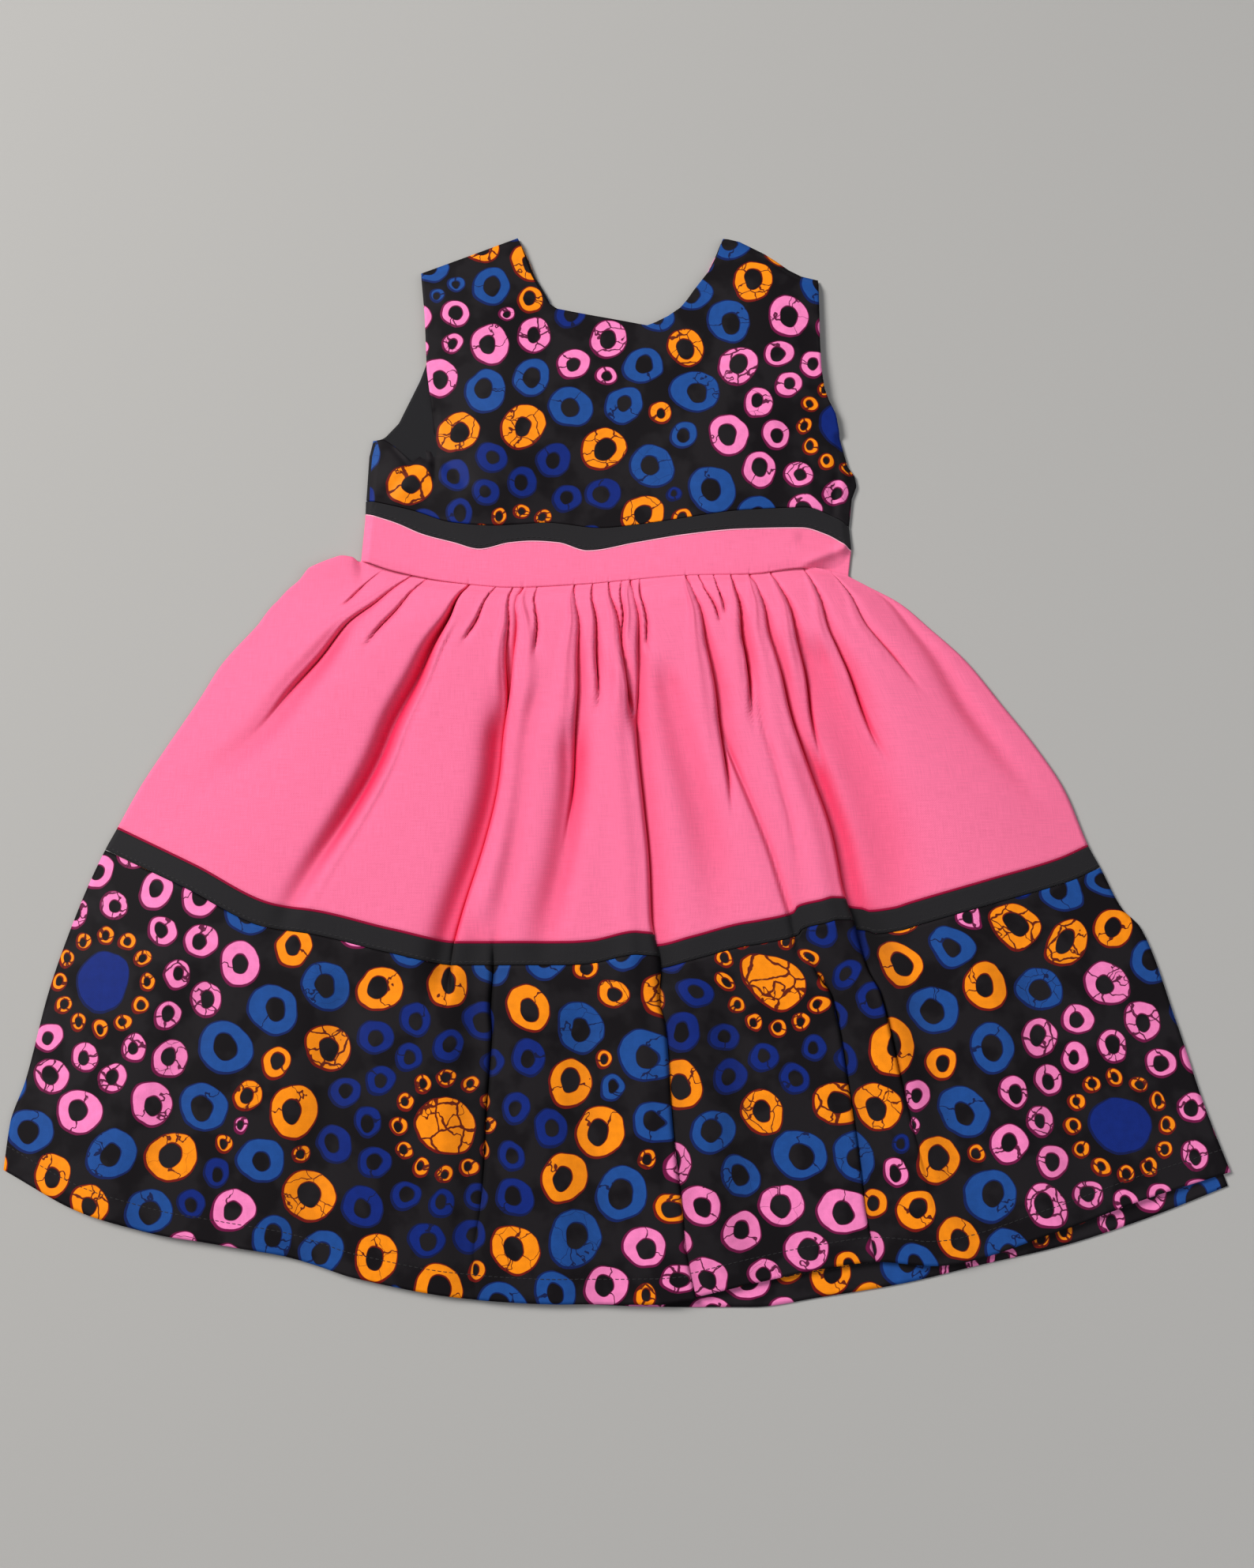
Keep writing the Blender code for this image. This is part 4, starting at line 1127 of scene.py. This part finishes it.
back_piece("skirt", skirt_rows(0, PINK_LENGTH, 50), 130, PINK, PINK_CUT)
back_piece("hem_band", skirt_rows(PINK_LENGTH, TIER_TOP, 5), 130, BLACK, BAND_CUT)
back_piece("hem_tier", skirt_rows(TIER_TOP, SKIRT_LENGTH, 86), 290, PRINT, TIER_CUT)

# %% [markdown]
# ## The bodice
# The front is one piece with its straps. Under the left arm its side has slipped in, so the
# plain lining of the back shows in the armhole. It is filled out a little, as a hand smooths a
# dress that was just taken off its hanger.

# %% Bodice front
# Columns: x, y, height of a soft swelling of the bodice front, its radius
BODICE_SWELLS = (
    (-90, 290, 2.5, 26), (85, 295, 2.5, 26), (-60, 225, 4.0, 42), (20, 225, 3.0, 46),
    (88, 235, 4.5, 36), (-85, 178, 3.0, 26), (60, 185, 3.5, 36), (-133, 180, 3.5, 14),
    (112, 178, 3.0, 16),
)
# Columns: x and y of one end, x and y of the other, depth, half width
BODICE_CREASES = (
    (-118, 205, -96, 178, 1.2, 5.0), (-140, 172, -120, 196, 1.4, 4.0), (-62, 200, -30, 168, 0.5, 9.0),
    (96, 215, 118, 172, 1.2, 6.0), (108, 262, 70, 222, 0.7, 9.0), (-104, 262, -70, 240, 0.6, 8.0),
    (20, 200, 40, 170, 0.5, 8.0), (-15, 262, 10, 215, 0.4, 12.0), (-114.5, 222, -113, 182, 1.5, 2.2),
    (-128, 203, -118, 193, 1.2, 2.2), (-138, 200, -130, 190, 0.8, 2.0), (-121, 214, -117, 200, 1.0, 1.8),
    (124, 196, 121, 160, 1.3, 2.6), (131, 186, 127, 160, 0.9, 1.8),
)


def bodice_rise(x, y):
    """Height of the front cloth: bells over the lined back, less a trough along each crease."""
    rise = np.full_like(x, LINED_REST)
    for cx, cy, height, radius in BODICE_SWELLS:
        rise += height * np.exp(-(((x - cx) ** 2 + (y - cy) ** 2) / radius**2))
    for x1, y1, x2, y2, depth, half_width in BODICE_CREASES:
        reach = distance_to(((x1, y1), (x2, y2)), x, y)
        rise -= depth * np.exp(-((reach / half_width) ** 2))
    return rise + 0.6 * ripple(x * 1.3, y * 1.3)


def sewn_down(x, y, height, lines, low=1.0, reach=5.0):
    """Brings the cloth down to the back along the seams that join them, over a short reach."""
    for line in lines:
        near = smooth_step(distance_to(line, x, y) / reach)
        height = low + (height - low) * (0.15 + 0.85 * near)
    return height


SEWN_LINES = (FRONT_TOP_LEFT, FRONT_TOP_RIGHT, LEFT_SIDE, RIGHT_SIDE[6:])


def bodice_front():
    """The front with its straps, and the flap that slipped in under the left arm beside it."""
    rows, columns, flap_rows, flap_columns = 121, 181, 49, 29
    corner = np.array(FRONT_UNDERARM[-1], float)
    foot = np.array([corner[0], read(BAND_SEAM, corner[0], 1) + SEAM_GAP / 2])
    x = np.linspace(foot[0], RIGHT_SIDE[-1][0], columns)
    bottom = np.stack([x, read(BAND_SEAM, x, 1) + SEAM_GAP / 2], axis=-1)
    top = along(FRONT_TOP, np.linspace(0, 1, columns))
    inner = along((foot, corner), np.linspace(0, 1, flap_rows))
    armhole = along(FRONT_ARMHOLE[::-1], np.linspace(0, 1, rows - flap_rows + 1))
    left = np.concatenate([inner, armhole[1:]])
    right = along(RIGHT_SIDE[::-1], np.linspace(0, 1, rows))
    left[0], right[0] = bottom[0], bottom[-1]
    panel = patch(bottom, top, left, right)
    x = np.linspace(BAND_SEAM[0][0], foot[0], flap_columns)
    bottom = np.stack([x, read(BAND_SEAM, x, 1) + SEAM_GAP / 2], axis=-1)
    top = along(FRONT_UNDERARM, np.linspace(0, 1, flap_columns))
    side = along(LEFT_SIDE[::-1], np.linspace(0, 1, flap_rows))
    side[0] = bottom[0]
    flap = patch(bottom, top, side, inner)
    grids = []
    for flat in (panel, flap):
        x, y = flat[..., 0], flat[..., 1]
        z = sewn_down(x, y, bodice_rise(x, y), SEWN_LINES)
        grids.append((raised(flat, z), flat + FRONT_BODICE_SHIFT))
    piece = sheet_piece("bodice_front_cloth", grids, PRINT)
    cut_from(piece, "front_bodice", (0.29, 0.185), sum(flat_area(measures) for _, measures in grids),
             rests_on=["back_bodice_left", "back_bodice_right"])


bodice_front()


# %% Bodice back and its lining
def back_half(side_edge, top_edge, centre, inset, rows=86, columns=76):
    """A flat grid for half of the back: its side, its neck, lowered by the inset, and the centre."""
    on_left = side_edge[0][0] < centre
    side = along(side_edge[::-1], np.linspace(0, 1, rows))
    x = np.linspace(*sorted((side[0, 0], centre)), columns)
    top = along(top_edge, np.linspace(0, 1, columns))
    top[-1 if on_left else 0, 0] = centre
    bottom = np.stack([x, read(BAND_SEAM, x, 1) + SEAM_GAP / 2], axis=-1)
    end = -1 if on_left else 0
    middle = along((bottom[end], top[end]), np.linspace(0, 1, rows))
    side[0] = bottom[0 if on_left else -1]
    left, right = (side, middle) if on_left else (middle, side)
    flat = patch(bottom, top, left, right)
    flat[:, :, 1] -= inset * np.linspace(0, 1, rows)[:, None]
    return flat


ZIP_WIDTH = 9.0
LINING_INSET, LINING_HEIGHT = 1.0, 1.5      # below the bodice's edge, over the floor
for side, side_edge, top_edge, way in (
    ("left", BACK_ARMHOLE_LEFT, BACK_TOP_LEFT, -1),
    ("right", BACK_ARMHOLE_RIGHT, BACK_TOP_RIGHT, 1),
):
    outer = back_half(side_edge, top_edge, CENTRE_BACK + way * SEAM_GAP / 2, 0.0)
    inner = back_half(side_edge, top_edge, CENTRE_BACK + way * (ZIP_WIDTH / 2 + SEAM_GAP), LINING_INSET)
    uneven = LINING_HEIGHT + (0.35 + 0.35 * ripple(inner[..., 0] * 2, inner[..., 1] * 2))
    for layer, flat, height, material, thickness in (
        ("bodice", outer, 0.0, PRINT, 0.8), ("lining", inner, uneven, LINING, 0.4),
    ):
        grids = [(raised(flat, height), flat + BACK_BODICE_SHIFT)]
        piece = sheet_piece(f"{layer}_back_{side}_cloth", grids, material, thickness, 1.0)
        cut_from(piece, f"back_{layer}_{side}", (0.145, 0.18), flat_area(flat))

# %% [markdown]
# ## Waist pieces and the zip
# The black band and the waistband are strips between two seams, gently wavy because the bodice
# above and the gathers below pull on them. At the back both open at the zip.

# %% Strips between seams
WAIST_REST = 6.9    # height of the front strips over the waist seam
END_LINES = (((LEFT_END, 131), (-153, 168)), ((RIGHT_END, 122), (131, 138), (130, 152)))
# A line of x and y, its depth, its half width
TURN_CREASE = ((103, 144), (120, 138)), 1.5, 4.5
SIDE_SEAM = ((-151, 131), (-149.4, 159), (-148, 165)), 0.35, 0.7
# The right end of the waistband is turned down along this line
TURN_START, TURN_END = np.array([102.4, 126.8]), np.array([129.9, 139.3])
TURN_DEPTH, TURN_SLOPE = 4.0, 0.21


def strip_rise(x, y):
    """Height of the front strips: level at the waist, the bodice's height at the top.

    The gathers show through for the first few millimetres. Beyond the turn the height falls in
    proportion to one less the exponential of the distance, and then by a gentle slope.
    """
    share = np.clip((x - LEFT_END) / (RIGHT_END - LEFT_END), 0, 1)
    gathered = skirt_front_surface(share, np.zeros_like(share))[0][..., 2]
    seam = read(WAIST_SEAM, x, 1)
    up = smooth_step((y - seam) / (read(BAND_SEAM, x, 1) - seam))
    low = WAIST_REST + 0.6 * ripple(x, y)
    z = low + (bodice_rise(x, y) - low) * up
    z += 0.3 * (gathered - low) * (1 - smooth_step((y - seam) / 5))
    run = (TURN_END - TURN_START) / np.hypot(*(TURN_END - TURN_START))
    past = (x - TURN_START[0]) * run[1] - (y - TURN_START[1]) * run[0]
    near_turn = smooth_step((x - TURN_START[0] + 6) / 12)
    beyond = (past + np.hypot(past, 1.0)) / 2
    z -= near_turn * (TURN_DEPTH * (1 - np.exp(-beyond / 2.6)) + TURN_SLOPE * beyond)
    z += near_turn * 0.8 * np.exp(-(((past + 1.5) / 2.5) ** 2))
    for line, depth, half_width in (TURN_CREASE, SIDE_SEAM):
        z -= depth * np.exp(-((distance_to(line, x, y) / half_width) ** 2))
    return np.maximum(sewn_down(x, y, z, END_LINES), 1.0)


def strip_grid(lower, upper, starts, ends, columns, rows, rise):
    """A grid between two seams, half a seam's gap inside each; starts and ends are low, high."""
    low_x, high_x = (np.linspace(starts[i], ends[i], columns) for i in (0, 1))
    low = np.stack([low_x, read(lower, low_x, 1) + SEAM_GAP / 2], axis=-1)
    high = np.stack([high_x, read(upper, high_x, 1) - SEAM_GAP / 2], axis=-1)
    up = np.linspace(0, 1, rows)[:, None, None]
    flat = low[None] * (1 - up) + high[None] * up
    return raised(flat, rise(flat[..., 0], flat[..., 1])), flat


for part, lower, upper, material, depth in (
    ("waistband", WAIST_SEAM, WAISTBAND_SEAM, PINK, 0.030),
    ("bodice_band", WAISTBAND_SEAM, BAND_SEAM, BLACK, 0.014),
):
    starts, ends = (lower[0][0], upper[0][0]), (lower[-1][0], upper[-1][0])
    grid, flat = strip_grid(lower, upper, starts, ends, 401, 25, strip_rise)
    piece = sheet_piece(f"{part}_front_cloth", [(grid, flat)], material)
    cut_from(piece, f"front_{part}", (0.285, depth), flat_area(flat))
    for side, start, end in (
        ("left", LEFT_END + BACK_TUCK, CENTRE_BACK - SEAM_GAP / 2),
        ("right", CENTRE_BACK + SEAM_GAP / 2, RIGHT_END - BACK_TUCK),
    ):
        grid, flat = strip_grid(lower, upper, (start, start), (end, end), 60, 8, lambda x, y: 0.0)
        piece = sheet_piece(f"{part}_back_{side}_cloth", [(grid, flat)], material, BACK_CLOTH, 1.0)
        cut_from(piece, f"back_{part}_{side}", (0.145, depth), flat_area(flat))

# %% The zip's tape
RIDGE_HEIGHT, RIDGE_WIDTH = 0.35, 1.6   # of the coil under the tape
zip_end = read(WAIST_SEAM, CENTRE_BACK, 1) + 2
zip_top = BACK_TOP_LEFT[-1][1] - 4
zip_sides = CENTRE_BACK + np.linspace(-ZIP_WIDTH / 2, ZIP_WIDTH / 2, 19)
flat = np.stack(np.meshgrid(zip_sides, np.linspace(zip_end, zip_top, 140)), axis=-1)
ridge = LINING_HEIGHT + RIDGE_HEIGHT * np.exp(-(((flat[..., 0] - CENTRE_BACK) / RIDGE_WIDTH) ** 2))
piece = sheet_piece("zip_tape_cloth", [(raised(flat, ridge), flat)], TAPE, 0.5, 1.0)
cut_from(piece, "back_zip_tape", (0.010, 0.140), ZIP_WIDTH * (zip_top - zip_end) * MM**2)

# %% [markdown]
# ## Edges and stitches
# The waistband's upper edge shows a raised turned line, coloured paler than the pink: a painted highlight
# where the fold catches the light. A dark red one runs where the pink skirt meets its black band. The hems
# are turned up and sewn once all round with black thread.

# %% Raised lines along two seams
def raised_line(name, points, height, material):
    """A narrow grid lifted over its cloth: half the cloth, and an arch over its five rows."""
    arch = 1 - np.linspace(-1, 1, len(points)) ** 2
    points = points + np.stack([0 * arch, 0 * arch, CLOTH / 2 + height * arch], axis=-1)[:, None]
    sheet_piece(name, [(points, points[..., :2])], material, thickness=0.1)


# The waistband's turned edge: raised cloth, in the paler colour of a painted highlight
x = np.linspace(WAISTBAND_SEAM[0][0], WAISTBAND_SEAM[-1][0], 420)
x, below = np.meshgrid(x, np.array([0.95, 0.75, 0.52, 0.3, 0.12]))
y = read(WAISTBAND_SEAM, x, 1) - below
raised_line("waistband_edge_highlight", np.stack([x, y, strip_rise(x, y)], axis=-1), 0.3, EDGE_HIGHLIGHT)
rows = PINK_LENGTH - np.array([-0.1, 0.2, 0.5, 0.8, 1.1])
raised_line("band_seam_edge", front_grid(rows, 620)[0], 0.22, RED_THREAD)


# %% Stitches round the hem
STITCH, STITCH_PITCH, STITCH_RADIUS = 2.3, 3.1, 0.2     # length, from one to the next, radius
STITCH_ALONG = np.array([-1, -0.8, 0, 0.8, 1])      # a stitch's five rings, in half lengths
STITCH_THICK = np.array([0.15, 0.9, 1.0, 0.9, 0.15])    # of each ring, in radii
STITCH_LIFT = np.array([-0.6, 0.3, 0.7, 0.3, -0.6])     # off the cloth, in radii
HEM_TURN = 13.0     # how deep the hem is turned up


def stitch_line(name, line):
    """Short threads along a line of points: rods of five rings with six sides each.

    Each rod's middle and its direction come from the line by its length, and its ends sink in.
    """
    run = np.concatenate([[0], np.cumsum(np.linalg.norm(np.diff(line, axis=0), axis=1))])
    middle = np.arange(STITCH_PITCH / 2, run[-1], STITCH_PITCH)
    at = middle[:, None] + STITCH_ALONG * STITCH / 2
    centre = np.stack([np.interp(at, run, line[:, i]) for i in range(3)], axis=-1)
    centre[..., 2] += STITCH_RADIUS * STITCH_LIFT
    ahead = centre[:, -1] - centre[:, 0]
    ahead /= np.linalg.norm(ahead, axis=1, keepdims=True)
    aside = np.cross(ahead, (0, 0, 1.0))
    upward = np.cross(aside, ahead)
    turn = 2 * np.pi * np.arange(6)[:, None] / 6
    spokes = np.cos(turn) * aside[:, None, None] + np.sin(turn) * upward[:, None, None]
    points = centre[:, :, None] + STITCH_RADIUS * STITCH_THICK[:, None, None] * spokes
    index = np.arange(points[..., 0].size).reshape(points.shape[:3])
    after = np.roll(index, -1, axis=2)
    around = (index[:, :-1], after[:, :-1], after[:, 1:], index[:, 1:])
    points = points.reshape(-1, 3)
    mesh = quad_mesh(name, points, points[:, :2], np.stack(around, axis=-1).reshape(-1, 4))
    sewn_on(mesh, BLACK_THREAD)
    print(name, len(middle), "stitches")


ON_CLOTH = np.array([0, 0, CLOTH / 2])
for name, level in (("front_hem_stitches", SKIRT_LENGTH - HEM_TURN), ("band_stitches", TIER_TOP - 1.9)):
    stitch_line(name, front_grid(np.array([level]), 900)[0][0] + ON_CLOTH)
x = np.linspace(LEFT_END + 4, RIGHT_END - 2, 400)
y = read(WAISTBAND_SEAM, x, 1) + 2.0
stitch_line("bodice_band_stitches", np.stack([x, y, strip_rise(x, y)], axis=-1) + ON_CLOTH)
across = np.linspace(0.006, 0.994, 300)
down = np.full_like(across, SKIRT_LENGTH - HEM_TURN)
flat = np.stack(skirt_plan(across, down, BACK_TIER_SEAM, BACK_HEM), axis=-1)
stitch_line("back_hem_stitches", raised(flat, BACK_CLOTH))
